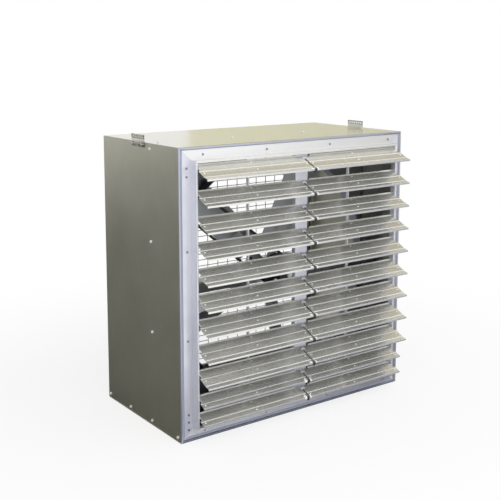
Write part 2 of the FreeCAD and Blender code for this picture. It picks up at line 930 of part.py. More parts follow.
# Hanger plates
def build_hangers():
    low = cabinet_height + hanger_rise - hanger_height
    high = cabinet_height + hanger_rise
    middle = front + hanger_setback
    y_low = middle - hanger_width / 2
    y_high = middle + hanger_width / 2
    plate = block(half_width, half_width + hanger_sheet, y_low, y_high, low, high)
    holes = []
    first = middle - hanger_hole_spacing * (hanger_holes - 1) / 2
    for index in range(hanger_holes):
        y = first + hanger_hole_spacing * index
        start = Vector(half_width, y, high - hanger_hole_drop)
        if index in (0, hanger_holes - 1):
            holes.append(Part.makeCylinder(hanger_hole_radius, hanger_sheet, start, Vector(1, 0, 0)))
        else:
            ring = polygon_ring((y, start.z), hanger_hole_radius, hanger_hole_sides)
            holes.append(prism_along_x(ring, half_width, half_width + hanger_sheet))
    plate = plate.cut(Part.makeCompound(holes))
    save("hanger_plate_right", [plate])
    save("hanger_plate_left", [mirrored(plate)])
    bolts = []
    for y in (y_low + hanger_bolt_inset, y_high - hanger_bolt_inset):
        x = half_width + hanger_sheet
        bolt = hex_head_along_x(x, y, low + hanger_bolt_inset, hanger_bolt_across, hanger_bolt_head)
        bolts += [bolt, mirrored(bolt)]
    save("hanger_bolts", bolts)


# Intake guard
def centered_places(span, pitch):
    count = int(span // pitch) + 1
    first = -pitch * (count - 1) / 2
    return [first + pitch * index for index in range(count)]


def build_guard():
    # Upright wires lie against the rear flange, and level wires lie on them.
    flat = wire_radius * math.cos(math.pi / wire_sides)
    upright_y = back - cabinet_sheet - flat
    level_y = upright_y - 2 * flat
    half = half_width - rear_flange + guard_overlap
    half_height = cabinet_height / 2 - rear_flange + guard_overlap
    wires = []
    for z in centered_places(2 * half_height, level_wire_pitch):
        ring = [(level_y + a, shaft_z + z + b) for a, b in polygon_ring((0, 0), wire_radius, wire_sides)]
        wires.append(prism_along_x(ring, -half, half))
    for x in centered_places(2 * half, vertical_wire_pitch):
        ring = [(x + b, upright_y + a) for a, b in polygon_ring((0, 0), wire_radius, wire_sides)]
        points = [Vector(a, b, shaft_z - half_height) for a, b in ring]
        wires.append(prism(points, Vector(0, 0, 2 * half_height)))
    save("intake_guard", wires)


os.makedirs("parts", exist_ok=True)
build_cabinet()
build_shutter_frame()
build_center_bearings()
build_louvres()
build_tie_bars()
build_orifice_panel()
build_throat_ring()
build_propeller()
build_shaft_line()
build_drive()
build_motor()
build_motor_bracket()
save("drive_bolts", bearing_bolts() + motor_bolts())
build_conduit_box()
build_hangers()
build_guard()
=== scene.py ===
import json
from math import asin, atan2, cos, hypot, pi, radians, sin, sqrt

import bmesh
import bpy
from mathutils import Matrix, Vector


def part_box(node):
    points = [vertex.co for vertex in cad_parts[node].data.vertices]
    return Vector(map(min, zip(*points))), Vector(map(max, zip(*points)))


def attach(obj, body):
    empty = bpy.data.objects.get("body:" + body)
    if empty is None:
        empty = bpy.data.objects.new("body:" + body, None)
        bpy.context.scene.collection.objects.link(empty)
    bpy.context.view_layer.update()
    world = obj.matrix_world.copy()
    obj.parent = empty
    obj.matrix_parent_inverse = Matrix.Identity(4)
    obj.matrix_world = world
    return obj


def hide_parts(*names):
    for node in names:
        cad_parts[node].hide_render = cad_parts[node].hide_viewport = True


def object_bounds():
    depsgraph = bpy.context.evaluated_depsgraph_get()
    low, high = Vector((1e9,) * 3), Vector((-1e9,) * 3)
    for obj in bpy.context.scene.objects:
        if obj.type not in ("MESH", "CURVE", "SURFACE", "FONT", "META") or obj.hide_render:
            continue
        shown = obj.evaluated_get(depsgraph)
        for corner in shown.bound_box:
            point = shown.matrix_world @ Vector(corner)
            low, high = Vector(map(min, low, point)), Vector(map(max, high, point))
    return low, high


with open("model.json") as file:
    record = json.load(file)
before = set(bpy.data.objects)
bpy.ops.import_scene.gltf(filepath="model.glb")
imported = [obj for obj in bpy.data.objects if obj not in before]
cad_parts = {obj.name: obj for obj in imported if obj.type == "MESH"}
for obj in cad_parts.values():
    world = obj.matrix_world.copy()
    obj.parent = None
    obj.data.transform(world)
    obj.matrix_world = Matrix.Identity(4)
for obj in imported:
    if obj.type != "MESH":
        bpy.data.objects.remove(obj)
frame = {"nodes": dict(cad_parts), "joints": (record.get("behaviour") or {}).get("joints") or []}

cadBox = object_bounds()
nodes = frame["nodes"]
pivots = {joint["child"]: Vector(joint["pos_m"]) for joint in frame["joints"]}
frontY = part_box("side_panel_left")[0].y
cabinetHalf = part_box("side_panel_right")[1].x
sharpAngle = radians(38)
edgeAngle, rimAngle, foldAngle = 0.6, 0.5, 0.3  # radians from which an edge is eased
weldReach = 0.00002
closeBy = 0.001
hexSides = 6
roundSteps = 3
hands = ((-1, "left"), (1, "right"))
print("frame:", len(nodes), "nodes")


class Wire:
    # a shader socket that takes part in sums
    def __init__(self, tree, socket):
        self.tree = tree
        self.socket = socket

    def sum(self, operation, first, second):
        made = self.tree.nodes.new("ShaderNodeMath")
        made.operation = operation
        plug(self.tree, first, made.inputs[0])
        plug(self.tree, second, made.inputs[1])
        return Wire(self.tree, made.outputs[0])

    def __add__(self, other):
        return self.sum("ADD", self, other)

    __radd__ = __add__

    def __sub__(self, other):
        return self.sum("SUBTRACT", self, other)

    def __mul__(self, other):
        return self.sum("MULTIPLY", self, other)


def plug(tree, value, socket):
    if isinstance(value, Wire):
        tree.links.new(value.socket, socket)
    else:
        socket.default_value = value


class Finish:
    # a material and its nodes
    def __init__(self, name):
        self.material = bpy.data.materials.new(name)
        self.material.use_nodes = True
        self.tree = self.material.node_tree
        self.shader = self.tree.nodes["Principled BSDF"]

    def node(self, kind, settings, sockets, out=0):
        made = self.tree.nodes.new(kind)
        for key, value in settings.items():
            setattr(made, key, value)
        for key, value in sockets.items():
            plug(self.tree, value, made.inputs[key])
        return Wire(self.tree, made.outputs[out])

    def place(self, scale=(1, 1, 1), turn=(0, 0, 0)):
        spot = self.node("ShaderNodeTexCoord", {}, {}, "Object")
        return self.node("ShaderNodeMapping", {}, {"Vector": spot, "Scale": scale, "Rotation": turn})

    def noise(self, size, detail, rough=0.55, spot=None):
        sockets = {"Vector": spot or self.place(), "Scale": size, "Detail": detail, "Roughness": rough}
        return self.node("ShaderNodeTexNoise", {}, sockets, "Fac")

    def band(self, value, low, high):
        made = self.node("ShaderNodeValToRGB", {}, {"Fac": value})
        first, last = made.socket.node.color_ramp.elements
        first.position, last.position = low, high
        return made

    def blend(self, share, first, second):
        under = first if isinstance(first, Wire) else (*first, 1)
        return self.node("ShaderNodeMix", {"data_type": "RGBA"}, {0: share, 6: under, 7: (*second, 1)}, 2)

    def fade(self, axis, start, end):
        spot = self.node("ShaderNodeSeparateXYZ", {}, {"Vector": self.place()}, axis)
        return self.node("ShaderNodeMapRange", {}, {"Value": spot, "From Min": start, "From Max": end})

    def relief(self, height, depth, strength, under=None):
        sockets = {"Height": height, "Distance": depth, "Strength": strength}
        if under:
            sockets["Normal"] = under
        return self.node("ShaderNodeBump", {}, sockets)

    def set(self, **sockets):
        for key, value in sockets.items():
            plug(self.tree, value, self.shader.inputs[key.replace("_", " ")])
        return self.material

    def coat(self, share, tint, dull, rough, skin, metal=0.0):
        # a colour between two tones, and the relief of the skin
        colour, relief = self.blend(share, dull, tint), self.relief(*skin)
        return self.set(Base_Color=colour, Roughness=rough, Normal=relief, Metallic=metal)


grainScale = {"x": (1, 26, 26), "z": (26, 26, 1)}

# a fade is an axis, where it starts and ends, and the colour beyond it
# painted light and reflection: the front 3 to 4 mm of the left side and the top turn pale bluish, like a lit
# front edge
paintedLitRim = (1, frontY + 0.0040, frontY + 0.0030, (0.66, 0.68, 0.79))
# painted reflection: the front edge of the right side turns a cooler bluish grey
paintedFarRim = (1, frontY + 0.0090, frontY + 0.0065, (0.56, 0.565, 0.605))
# painted shade: the base panel's front edge turns dark bluish grey
paintedBaseRimShade = (1, frontY + 0.0095, frontY + 0.0070, (0.40, 0.42, 0.50))
# painted contact shadow: the base panel turns near-black in its lowest few millimetres
paintedContactShadow = (2, 0.0065, 0.0040, (0.08, 0.09, 0.12))
# painted shade: the top rail darkens towards its right end
paintedRailShade = (0, -0.25, 0.55, (0.76, 0.76, 0.745))
# painted shade: the bottom rail darkens strongly towards its right end
paintedSillShade = (0, -0.20, 0.50, (0.42, 0.42, 0.44))
# painted shadow: a dark bluish line along the foot of the bottom rail
paintedSillShadowLine = (2, 0.0215, 0.0185, (0.40, 0.43, 0.52))

# what the sheets share, and then what each one has of its own
plainSheet = {"rough": 0.40, "grain": "x", "wave": 0.05, "clouds": 4.5, "metal": 0.88, "fine": 0.06,
              "streak": 0.10, "fades": ()}
# painted shade: the sides and base take this darker olive tone, a shaded copy of the same sheet as the top,
# tinted like warm surroundings
shadedOliveSheet = {"tint": (0.60, 0.595, 0.505), "dull": (0.51, 0.505, 0.425), "wave": 0.10}
rolled = {
    "cabinetSide": {**shadedOliveSheet, "grain": "z", "fades": (paintedLitRim,)},
    "cabinetFarSide": {**shadedOliveSheet, "grain": "z", "fades": (paintedFarRim,)},
    "cabinetBase": {**shadedOliveSheet, "fades": (paintedBaseRimShade, paintedContactShadow)},
    # painted light: the top takes a lighter cream tone, a lit copy of the same sheet as the sides
    "cabinetTop": {"tint": (0.80, 0.795, 0.735), "dull": (0.71, 0.70, 0.62), "rough": 0.22, "wave": 0.08,
                   "clouds": 1.7, "metal": 0.92, "fades": (paintedLitRim,)},
    # painted reflection: the bluish tone of the uprights stands in for bluish surroundings
    "shutterUpright": {"tint": (0.85, 0.86, 0.93), "dull": (0.77, 0.78, 0.85), "rough": 0.36, "grain": "z",
                       "metal": 0.66},
    # painted light: the top rail is given a lighter tone than the uprights, a lit copy of the same frame
    # sheet
    "shutterLevel": {"tint": (0.96, 0.96, 0.965), "dull": (0.89, 0.89, 0.895), "rough": 0.34, "metal": 0.66,
                     "fades": (paintedRailShade,)},
    "shutterSill": {"tint": (0.92, 0.92, 0.94), "dull": (0.84, 0.84, 0.86), "rough": 0.34, "metal": 0.50,
                    "fades": (paintedSillShade, paintedSillShadowLine)},
    # painted reflection: the slight warm tone stands in for a warm room seen in the blades
    "louvreSheet": {"tint": (0.90, 0.893, 0.855), "dull": (0.86, 0.853, 0.81), "rough": 0.27, "wave": 0.012,
                    "clouds": 6.0, "metal": 0.78, "fine": 0.003, "streak": 0.03},
    "tieBar": {"tint": (0.93, 0.93, 0.97), "dull": (0.86, 0.86, 0.91), "grain": "z", "wave": 0.03,
               "metal": 0.05},
    "orificeSheet": {"tint": (0.25, 0.26, 0.29), "dull": (0.18, 0.19, 0.215), "rough": 0.46, "wave": 0.08,
                     "metal": 0.92},
    "propellerSheet": {"tint": (0.52, 0.54, 0.57), "dull": (0.40, 0.42, 0.45), "rough": 0.42, "wave": 0.06,
                       "clouds": 5.5, "metal": 0.92},
}


def rolledSheet(name):
    # mill-finish aluminium: rolling lines, cloudy patches, dull scuffs and a slight wave
    look = {**plainSheet, **rolled[name]}
    f = Finish(name)
    lines = f.noise(16.0, 5.0, 0.62, f.place(grainScale[look["grain"]]))
    clouds = f.noise(look["clouds"], 4.0, 0.6)
    specks = f.noise(210.0, 2.0, 0.5)
    scuffs = f.band(f.noise(11.0, 6.0, 0.72, f.place((3, 3, 9), (0.4, 0.7, 0.2))), 0.60, 0.74)
    share = f.band(lines * 0.40 + clouds * 0.48 + specks * 0.12, 0.36, 0.64)
    colour = f.blend(share, look["dull"], look["tint"])
    # each fade paints light or shade onto the colour by position
    for axis, start, end, tint in look["fades"]:
        colour = f.blend(f.fade(axis, start, end), colour, tint)
    rough = look["rough"] + (lines + clouds - 1) * look["streak"] + scuffs * look["streak"] * 0.6
    wave = f.relief(f.noise(2.6, 1.0, 0.4), 0.010, look["wave"])
    skin = f.relief(lines * 0.7 + specks * 0.3, 0.0002, look["fine"], wave)
    return f.set(Base_Color=colour, Metallic=look["metal"], Roughness=rough, Normal=skin)


def zincSheet(name, tint, dull, rough):
    # galvanised steel with its spangle
    f = Finish(name)
    flake = f.node("ShaderNodeTexVoronoi", {}, {"Vector": f.place(), "Scale": 95.0}, "Color")
    spangle = f.node("ShaderNodeRGBToBW", {}, {"Color": flake})
    clouds = f.noise(7.0, 4.0)
    share = spangle * 0.6 + clouds * 0.4
    return f.coat(share, tint, dull, rough + spangle * 0.16 + clouds * 0.10, (spangle, 0.0002, 0.12), 1.0)


def castMetal(name, tint, dull, rough):
    # painted casting: grainy skin, paint thinner on the high spots
    f = Finish(name)
    grain = f.noise(420.0, 4.0, 0.6)
    clouds = f.noise(18.0, 4.0)
    share = f.band(grain * 0.5 + clouds * 0.5, 0.35, 0.68)
    return f.coat(share, tint, dull, rough + (clouds - 0.5) * 0.22, (grain, 0.0006, 0.35), 0.25)


def machinedSteel(name, tint, dull, rough):
    # turned or drawn steel with fine rings and handling marks
    f = Finish(name)
    fine = f.noise(160.0, 3.0, spot=f.place((1, 9, 1)))
    clouds = f.noise(30.0, 4.0)
    rough = rough + (fine - 0.5) * 0.16 + (clouds - 0.5) * 0.16
    return f.coat(fine * 0.5 + clouds * 0.5, tint, dull, rough, (fine, 0.0002, 0.15), 1.0)


def mouldedNylon(name, tint, dull):
    f = Finish(name)
    clouds = f.noise(60.0, 4.0)
    grain = f.noise(900.0, 2.0)
    return f.coat(clouds, tint, dull, 0.42 + (clouds - 0.5) * 0.2, (grain, 0.0002, 0.15))


def beltRubber(name, tint, dull):
    # wrapped cover with its cloth and a little dust
    f = Finish(name)
    cloth = f.node("ShaderNodeTexWave", {"wave_type": "BANDS", "bands_direction": "DIAGONAL"},
                   {"Vector": f.place(), "Scale": 380.0, "Distortion": 1.0}, "Fac")
    dust = f.noise(26.0, 5.0)
    share = f.band(dust, 0.42, 0.75)
    return f.coat(share, tint, dull, 0.70 + (dust - 0.5) * 0.2, (cloth, 0.0003, 0.3))


def sprayPaint(name, tint, dull, rough):
    # machine enamel with a light orange peel
    f = Finish(name)
    peel = f.noise(260.0, 2.0)
    dust = f.noise(14.0, 5.0)
    share = f.band(dust, 0.38, 0.70)
    return f.coat(share, tint, dull, rough + (dust - 0.5) * 0.25, (peel, 0.0004, 0.18))


# two tones and a roughness for each of the others
finish = {
    **{name: rolledSheet(name) for name in rolled},
    "zinc": zincSheet("galvanisedSteel", (0.64, 0.66, 0.68), (0.46, 0.48, 0.50), 0.34),
    "hanger": zincSheet("hangerSteel", (0.64, 0.64, 0.575), (0.56, 0.56, 0.50), 0.12),
    "wire": sprayPaint("guardWire", (0.055, 0.055, 0.055), (0.030, 0.030, 0.032), 0.42),
    "iron": castMetal("castIron", (0.11, 0.115, 0.125), (0.065, 0.068, 0.075), 0.50),
    "rivet": machinedSteel("darkRivet", (0.47, 0.47, 0.51), (0.33, 0.33, 0.37), 0.34),
    "steel": machinedSteel("brightSteel", (0.74, 0.74, 0.76), (0.54, 0.54, 0.56), 0.26),
    "screw": sprayPaint("paleZinc", (0.80, 0.80, 0.81), (0.72, 0.72, 0.73), 0.28),
    "nylon": mouldedNylon("whiteNylon", (0.90, 0.90, 0.88), (0.78, 0.78, 0.76)),
    "bearing": mouldedNylon("greyNylon", (0.60, 0.60, 0.61), (0.48, 0.48, 0.49)),
    # black pieces at the inner ends of the left blades, by the gap between the columns
    "innerEnds": mouldedNylon("blackEndPlastic", (0.030, 0.030, 0.032), (0.016, 0.016, 0.017)),
    # painted shadow: dark blue for the strip that stands in for the shadow in the frame's gap
    "gapShadow": mouldedNylon("gapShadowBlue", (0.34, 0.37, 0.49), (0.26, 0.29, 0.40)),
    "rubber": beltRubber("beltRubber", (0.045, 0.044, 0.042), (0.018, 0.018, 0.018)),
    "enamel": sprayPaint("motorEnamel", (0.115, 0.122, 0.140), (0.080, 0.085, 0.098), 0.36),
    "shield": castMetal("motorCasting", (0.17, 0.175, 0.19), (0.11, 0.114, 0.125), 0.44),
}
print("finishes:", len(finish))


def sheetDress(name, look, width, steps):
    # a CAD node keeps its solid and gets eased edges
    node = nodes[name]
    node.data.materials.clear()
    node.data.materials.append(finish[look])
    for face in node.data.polygons:
        face.use_smooth = True
    node.modifiers.new("weld", "WELD").merge_threshold = weldReach
    if width:
        ease = node.modifiers.new("ease", "BEVEL")
        ease.width = width
        ease.segments = steps
        ease.limit_method = "ANGLE"
        ease.angle_limit = sharpAngle
    node.modifiers.new("even", "WEIGHTED_NORMAL").keep_sharp = True


def placed(bm, name, material):
    mesh = bpy.data.meshes.new(name)
    bm.to_mesh(mesh)
    bm.free()
    mesh.materials.append(material)
    made = bpy.data.objects.new(name, mesh)
    bpy.context.scene.collection.objects.link(made)
    return made


def finishPiece(name, body, look, builders, shape=(), replaced=(), wall=None):
    # the builders fill one mesh, each from the same values
    bm = bmesh.new()
    for build in builders:
        build(bm, *shape)
    piece = placed(bm, name, finish[look])
    for face in piece.data.polygons:
        face.use_smooth = True
    piece.data.set_sharp_from_angle(angle=sharpAngle)
    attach(piece, body)
    if replaced:
        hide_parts(*replaced)
    if wall:
        sheet = piece.modifiers.new("wall", "SOLIDIFY")
        sheet.thickness, sheet.offset = wall
    piece.modifiers.new("even", "WEIGHTED_NORMAL").keep_sharp = True


def easeEdges(bm, edges, offset, segments=2):
    bmesh.ops.bevel(bm, geom=edges, offset=offset, offset_type="OFFSET", affect="EDGES", segments=segments,
                    profile=0.5, material=-1, clamp_overlap=True)


def sharpEdges(verts, angle=edgeAngle):
    edges = {edge for vert in verts for edge in vert.link_edges}
    return [edge for edge in edges if edge.calc_face_angle(0) > angle]


def facing(at, axis):
    return Matrix.Translation(at) @ Vector(axis).to_track_quat("Z", "Y").to_matrix().to_4x4()


def drum(bm, at, axis, radius, height, sides=20, ease=0.0):
    # a short round or flat-sided stud that stands on a point
    place = facing(at, axis) @ Matrix.Translation((0, 0, height / 2))
    made = bmesh.ops.create_cone(bm, cap_ends=True, segments=sides, radius1=radius, radius2=radius,
                                 depth=height, matrix=place)
    if ease:
        easeEdges(bm, sharpEdges(made["verts"]), ease)


def dome(bm, at, axis, radius, height):
    place = facing(at, axis) @ Matrix.Diagonal((radius, radius, height, 1))
    verts = bmesh.ops.create_uvsphere(bm, u_segments=12, v_segments=8, radius=1, matrix=place)["verts"]
    faces = {face for vert in verts for face in vert.link_faces}
    edges = {edge for vert in verts for edge in vert.link_edges}
    bmesh.ops.bisect_plane(bm, geom=[*verts, *edges, *faces], plane_co=at, plane_no=axis, clear_inner=True)


def hexScrew(bm, at, axis, screw):
    # a hexagon on a collar
    brim = screw["height"] * screw["brimShare"]
    drum(bm, at, axis, screw["collar"], brim)
    head = Vector(at) + Vector(axis) * brim
    drum(bm, head, axis, screw["across"] / sqrt(3), screw["height"] - brim, hexSides, screw["ease"])


def plate(bm, low, high, ease, segments=2):
    low, high = Vector(low), Vector(high)
    place = Matrix.Translation((low + high) / 2) @ Matrix.Diagonal((*(high - low), 1))
    made = bmesh.ops.create_cube(bm, size=1, matrix=place)
    easeEdges(bm, sharpEdges(made["verts"]), ease, segments)


def newVerts(grown):
    return [item for item in grown["geom"] if isinstance(item, bmesh.types.BMVert)]


def edgesAmong(grown, verts):
    edges = [item for item in grown["geom"] if isinstance(item, bmesh.types.BMEdge)]
    return [edge for edge in edges if all(vert in verts for vert in edge.verts)]


def lengthwise(edge):
    return abs(edge.verts[0].co.x - edge.verts[1].co.x) > closeBy


def pulled(bm, spots, way, ease, angle=edgeAngle):
    # a flat outline pulled into a solid
    face = bm.faces.new([bm.verts.new(spot) for spot in spots])
    verts = newVerts(bmesh.ops.extrude_face_region(bm, geom=[face]))
    bmesh.ops.translate(bm, verts=verts, vec=way)
    whole = verts + list(face.verts)
    bmesh.ops.recalc_face_normals(bm, faces=list({f for v in whole for f in v.link_faces}))
    if ease:
        easeEdges(bm, sharpEdges(whole, angle), ease)


def mirrored(half, low, high):
    # a whole outline of (radius, y) from one half of it, with depths that count in from both ends
    first = [(radius, low + depth) for radius, depth in half]
    return first + [(radius, high - depth) for radius, depth in half[::-1]]


def outward(angle):
    return Vector((cos(angle), 0, sin(angle)))


def closedLoop(bm, spots):
    verts = [bm.verts.new(spot) for spot in spots]
    return verts, [bm.edges.new((verts[i - 1], verts[i])) for i in range(len(verts))]


def spun(bm, outline, centre, steps, ease=0.0):
    # a closed outline of (radius, y), spun about an axis along y
    verts, edges = closedLoop(bm, [(centre[0] + radius, y, centre[1]) for radius, y in outline])
    old = set(bm.faces)
    bmesh.ops.spin(bm, geom=verts + edges, cent=(centre[0], 0, centre[1]), axis=(0, 1, 0), angle=2 * pi,
                   steps=steps, use_merge=True)
    faces = [face for face in bm.faces if face not in old]
    bmesh.ops.recalc_face_normals(bm, faces=faces)
    if ease:
        easeEdges(bm, sharpEdges({v for f in faces for v in f.verts}, rimAngle), ease)
    return faces


# Louvres
louvre = {
    "count": 11, "fullOnes": 9, "sheet": 0.0012, "hem": (0.0070, 0.01269), "tail": (0.0050, 0.00719),
    "firstRidge": (-0.0255, -0.00981), "secondRidge": (-0.0575, -0.02481), "lip": (-0.0775, -0.02981),
    "narrowLip": (-0.0465, -0.01781), "lipDrop": 0.0070, "beadHalf": 0.0027, "beadHeight": 0.0020,
    "innerCut": -0.0100, "outerCut": -0.0215, "columns": (0.0025, 0.0110, 0.4659, 0.4766),
    "hemStart": 0.0314, "bendRadius": 0.0006, "bendAngle": 0.02, "clipWidth": 0.008, "clipReach": 0.014,
    "clipDepth": 0.005, "clipStart": 0.0025, "clipDrop": 0.0015,
    "clipFoot": ((-0.005, -0.005), (0.0025, -0.005)), "clipEase": 0.0006, "pin": 0.0025, "pinSides": 16,
    "outerPinEnd": 0.4724, "innerPinEnd": 0.0010, "crank": (0.02621, -0.01835), "crankMargin": 0.005,
    "column": 0.23955, "bracketLow": -0.0030, "bracketHigh": -0.0010, "pinEnd": 0.0040,
    "smallEase": 0.0004, "rivet": (0.0028, 0.0015), "rivetPlaces": ((1, 0.22), (4, 0.45)),
    "clipRivet": (0.0030, 0.0016), "clipRivetShare": 0.30,
}
# outlines of (y, z) from the lip's bend, and how far the pieces reach along x
lipBlock = {
    "outline": ((0.0050, 0.0018), (0.0004, 0.0008), (0.0001, -0.0132), (0.0034, -0.0132), (0.0038, -0.0030),
                (0.0050, -0.0026)),
    "ends": (0.0006, 0.0095), "room": 0.0002,
}
endStrip = {"start": 0.016, "over": 0.0009, "under": 0.0022, "ends": (0.0008, 0.0036)}
tab = {
    "fold": ((-0.0008, 0.0012), (-0.0008, -0.0060), (0.0022, -0.0060), (0.0022, -0.0026)),
    "reach": 0.0095, "over": 0.0012, "under": 0.0024, "ends": {-1: (0.0125, 0.0230), 1: (0.0030, 0.0090)},
    "boxGap": 0.0001,
}


def towards(start, end, distance):
    run = (Vector(end) - Vector(start)).normalized()
    return tuple(Vector(start) + run * distance)


def bead(before, ridge, after):
    along = (Vector(after) - Vector(before)).normalized()
    top = (ridge[0] + along.y * louvre["beadHeight"], ridge[1] - along.x * louvre["beadHeight"])
    return [towards(ridge, before, louvre["beadHalf"]), top, towards(ridge, after, louvre["beadHalf"])]


def louvrePath(narrow):
    tail, first, second = louvre["tail"], louvre["firstRidge"], louvre["secondRidge"]
    lip = louvre["narrowLip"] if narrow else louvre["lip"]
    path = [louvre["hem"], tail] + bead(tail, first, lip if narrow else second)
    if not narrow:
        path += bead(first, second, lip)
    return path + [lip, (lip[0], lip[1] - louvre["lipDrop"])]


def louvreBlade(bm, path, hand, pivot):
    # a bent line drawn across in strips, with room cut for the pivots, the mullion and the black block at the
    # lip
    end, inner, outer, tip = louvre["columns"]
    columns = [hand * x for x in (end, inner, louvre["hemStart"], outer, tip)]
    slope = (path[2][1] - path[1][1]) / (path[2][0] - path[1][0])
    cuts = [(y, path[1][1] + (y - path[1][0]) * slope) for y in (louvre["innerCut"], louvre["outerCut"])]
    line = path[:2] + cuts + path[2:]
    verts = [bm.verts.new((columns[0], pivot.y + y, pivot.z + z)) for y, z in line]
    edges = [bm.edges.new(pair) for pair in zip(verts, verts[1:])]
    for last, after in zip(columns, columns[1:]):
        grown = bmesh.ops.extrude_edge_only(bm, edges=edges)
        fresh = newVerts(grown)
        bmesh.ops.translate(bm, verts=fresh, vec=(after - last, 0, 0))
        edges = edgesAmong(grown, fresh)

    def cutAway(face):
        spot = face.calc_center_median()
        across, depth = abs(spot.x), spot.y - pivot.y
        return (across < inner and depth > louvre["innerCut"] or across > outer and depth > louvre["outerCut"]
                or across < louvre["hemStart"] and depth > louvre["tail"][0]
                or across < inner and hand < 0 and depth < path[-1][0] + lipBlock["room"])

    bmesh.ops.delete(bm, geom=[face for face in bm.faces if cutAway(face)], context="FACES")
    bm.normal_update()
    if sum(face.normal.z for face in bm.faces) < 0:
        bmesh.ops.reverse_faces(bm, faces=bm.faces[:])
    bends = [edge for edge in bm.edges if len(edge.link_faces) == 2 and lengthwise(edge)
             and edge.calc_face_angle(0) > louvre["bendAngle"]]
    easeEdges(bm, bends, louvre["bendRadius"], roundSteps)


def louvreBar(bm, outline, hand, pivot, ends, ease):
    # an outline of (y, z) from the pivot, pulled along x
    spots = [(hand * ends[0], pivot.y + y, pivot.z + z) for y, z in outline]
    pulled(bm, spots, (hand * (ends[1] - ends[0]), 0, 0), ease, foldAngle)


def underside(path):
    # the stretch of the blade's lower face that clips and brackets lie on
    under = [(y, z - louvre["clipDrop"]) for y, z in path]
    start = towards(under[1], under[2], louvre["clipStart"])
    return [start, under[2], under[4], towards(under[4], under[5], louvre["clipReach"])]


def louvreClips(bm, path, hand, pivot):
    # a clip near each end, with a pin that stands out of it
    seat = underside(path)
    run = (Vector(path[5]) - Vector(path[4])).normalized()
    back = Vector(seat[-1]) + Vector((-run.y, run.x)) * louvre["clipDepth"]
    outline = seat + [tuple(back), *louvre["clipFoot"]]
    inner, outer, width = louvre["columns"][1], louvre["columns"][2], louvre["clipWidth"]
    for low, high, start, end in ((outer - width, outer, outer - width, louvre["outerPinEnd"]),
                                  (inner, inner + width, louvre["innerPinEnd"], inner + width)):
        louvreBar(bm, outline, hand, pivot, (low, high), louvre["clipEase"])
        drum(bm, (hand * start, pivot.y, pivot.z), (hand, 0, 0), louvre["pin"], end - start,
             louvre["pinSides"], louvre["smallEase"])


def tieBracket(bm, path, hand, pivot):
    seat = underside(path)
    (y, z), margin = louvre["crank"], louvre["crankMargin"]
    outline = seat + [(seat[-1][0] + margin, seat[-1][1] - margin), (y - margin, z - margin),
                      (y + margin, z - margin), (y + margin, z + margin)]
    low = hand * louvre["column"] + louvre["bracketLow"]
    high = hand * louvre["column"] + louvre["bracketHigh"]
    louvreBar(bm, outline, 1, pivot, (low, high), louvre["smallEase"])
    length = louvre["pinEnd"] - louvre["bracketLow"]
    drum(bm, (low, pivot.y + y, pivot.z + z), (1, 0, 0), louvre["pin"], length, louvre["pinSides"],
         louvre["smallEase"])


def stripRivet(bm, x, pivot, start, end, share, size):
    # a domed head on the strip between two bends
    run = Vector(end) - Vector(start)
    spot = Vector(start) + run * share
    axis = Vector((0, run.y, -run.x)).normalized()
    dome(bm, Vector((x, pivot.y + spot.x, pivot.z + spot.y)), axis, *size)


def bracketRivets(bm, path, hand, pivot):
    x = hand * louvre["column"] + (louvre["bracketLow"] + louvre["bracketHigh"]) / 2
    for bend, share in louvre["rivetPlaces"]:
        stripRivet(bm, x, pivot, path[bend], path[bend + 1], share, louvre["rivet"])


def clipRivets(bm, path, hand, pivot):
    # one through each clip, on the second strip
    half = louvre["clipWidth"] / 2
    for x in (louvre["columns"][1] + half, louvre["columns"][2] - half):
        stripRivet(bm, hand * x, pivot, path[4], path[5], louvre["clipRivetShare"], louvre["clipRivet"])


def lipBumper(bm, path, hand, pivot):
    # a black strip along the inner end, with a black block that hangs from the lip
    lip = path[-2]
    outline = [(lip[0] + y, lip[1] + z) for y, z in lipBlock["outline"]]
    louvreBar(bm, outline, hand, pivot, lipBlock["ends"], louvre["smallEase"])
    line = [towards(path[1], path[2], endStrip["start"])] + path[2:-2]
    outline = [(y, z + endStrip["over"]) for y, z in line] + [(y, z - endStrip["under"]) for y, z in line[::-1]]
    louvreBar(bm, outline, hand, pivot, endStrip["ends"], 0)


def lipTab(bm, path, hand, pivot):
    # nylon tab folded over the lip, kept inside the CAD box
    lip = path[-2]
    y, z = towards(lip, path[-3], tab["reach"])
    fold = [(lip[0] + a, lip[1] + b) for a, b in tab["fold"]]
    outline = [(y, z + tab["over"])] + fold + [(y, z - tab["under"])]
    limit = cadBox[0].y + tab["boxGap"] - pivot.y
    kept = [(max(y, limit), z) for y, z in outline]
    louvreBar(bm, kept, hand, pivot, tab["ends"][hand], louvre["smallEase"])


for hand, side in hands:
    for number in range(1, louvre["count"] + 1):
        node = "louvre_" + side + "_" + str(number)
        label = "louvre" + side.title() + str(number)
        shape = (louvrePath(number > louvre["fullOnes"]), hand, pivots[node])
        finishPiece(label + "Blade", node, "louvreSheet", [louvreBlade], shape, [node],
                    (louvre["sheet"], -1))
        finishPiece(label + "Clips", node, "nylon", [louvreClips, clipRivets, lipTab], shape)
        finishPiece(label + "Bracket", node, "tieBar", [tieBracket, bracketRivets], shape)
        if hand < 0:
            finishPiece(label + "EndPieces", node, "innerEnds", [lipBumper], shape)
print("louvres: 22")

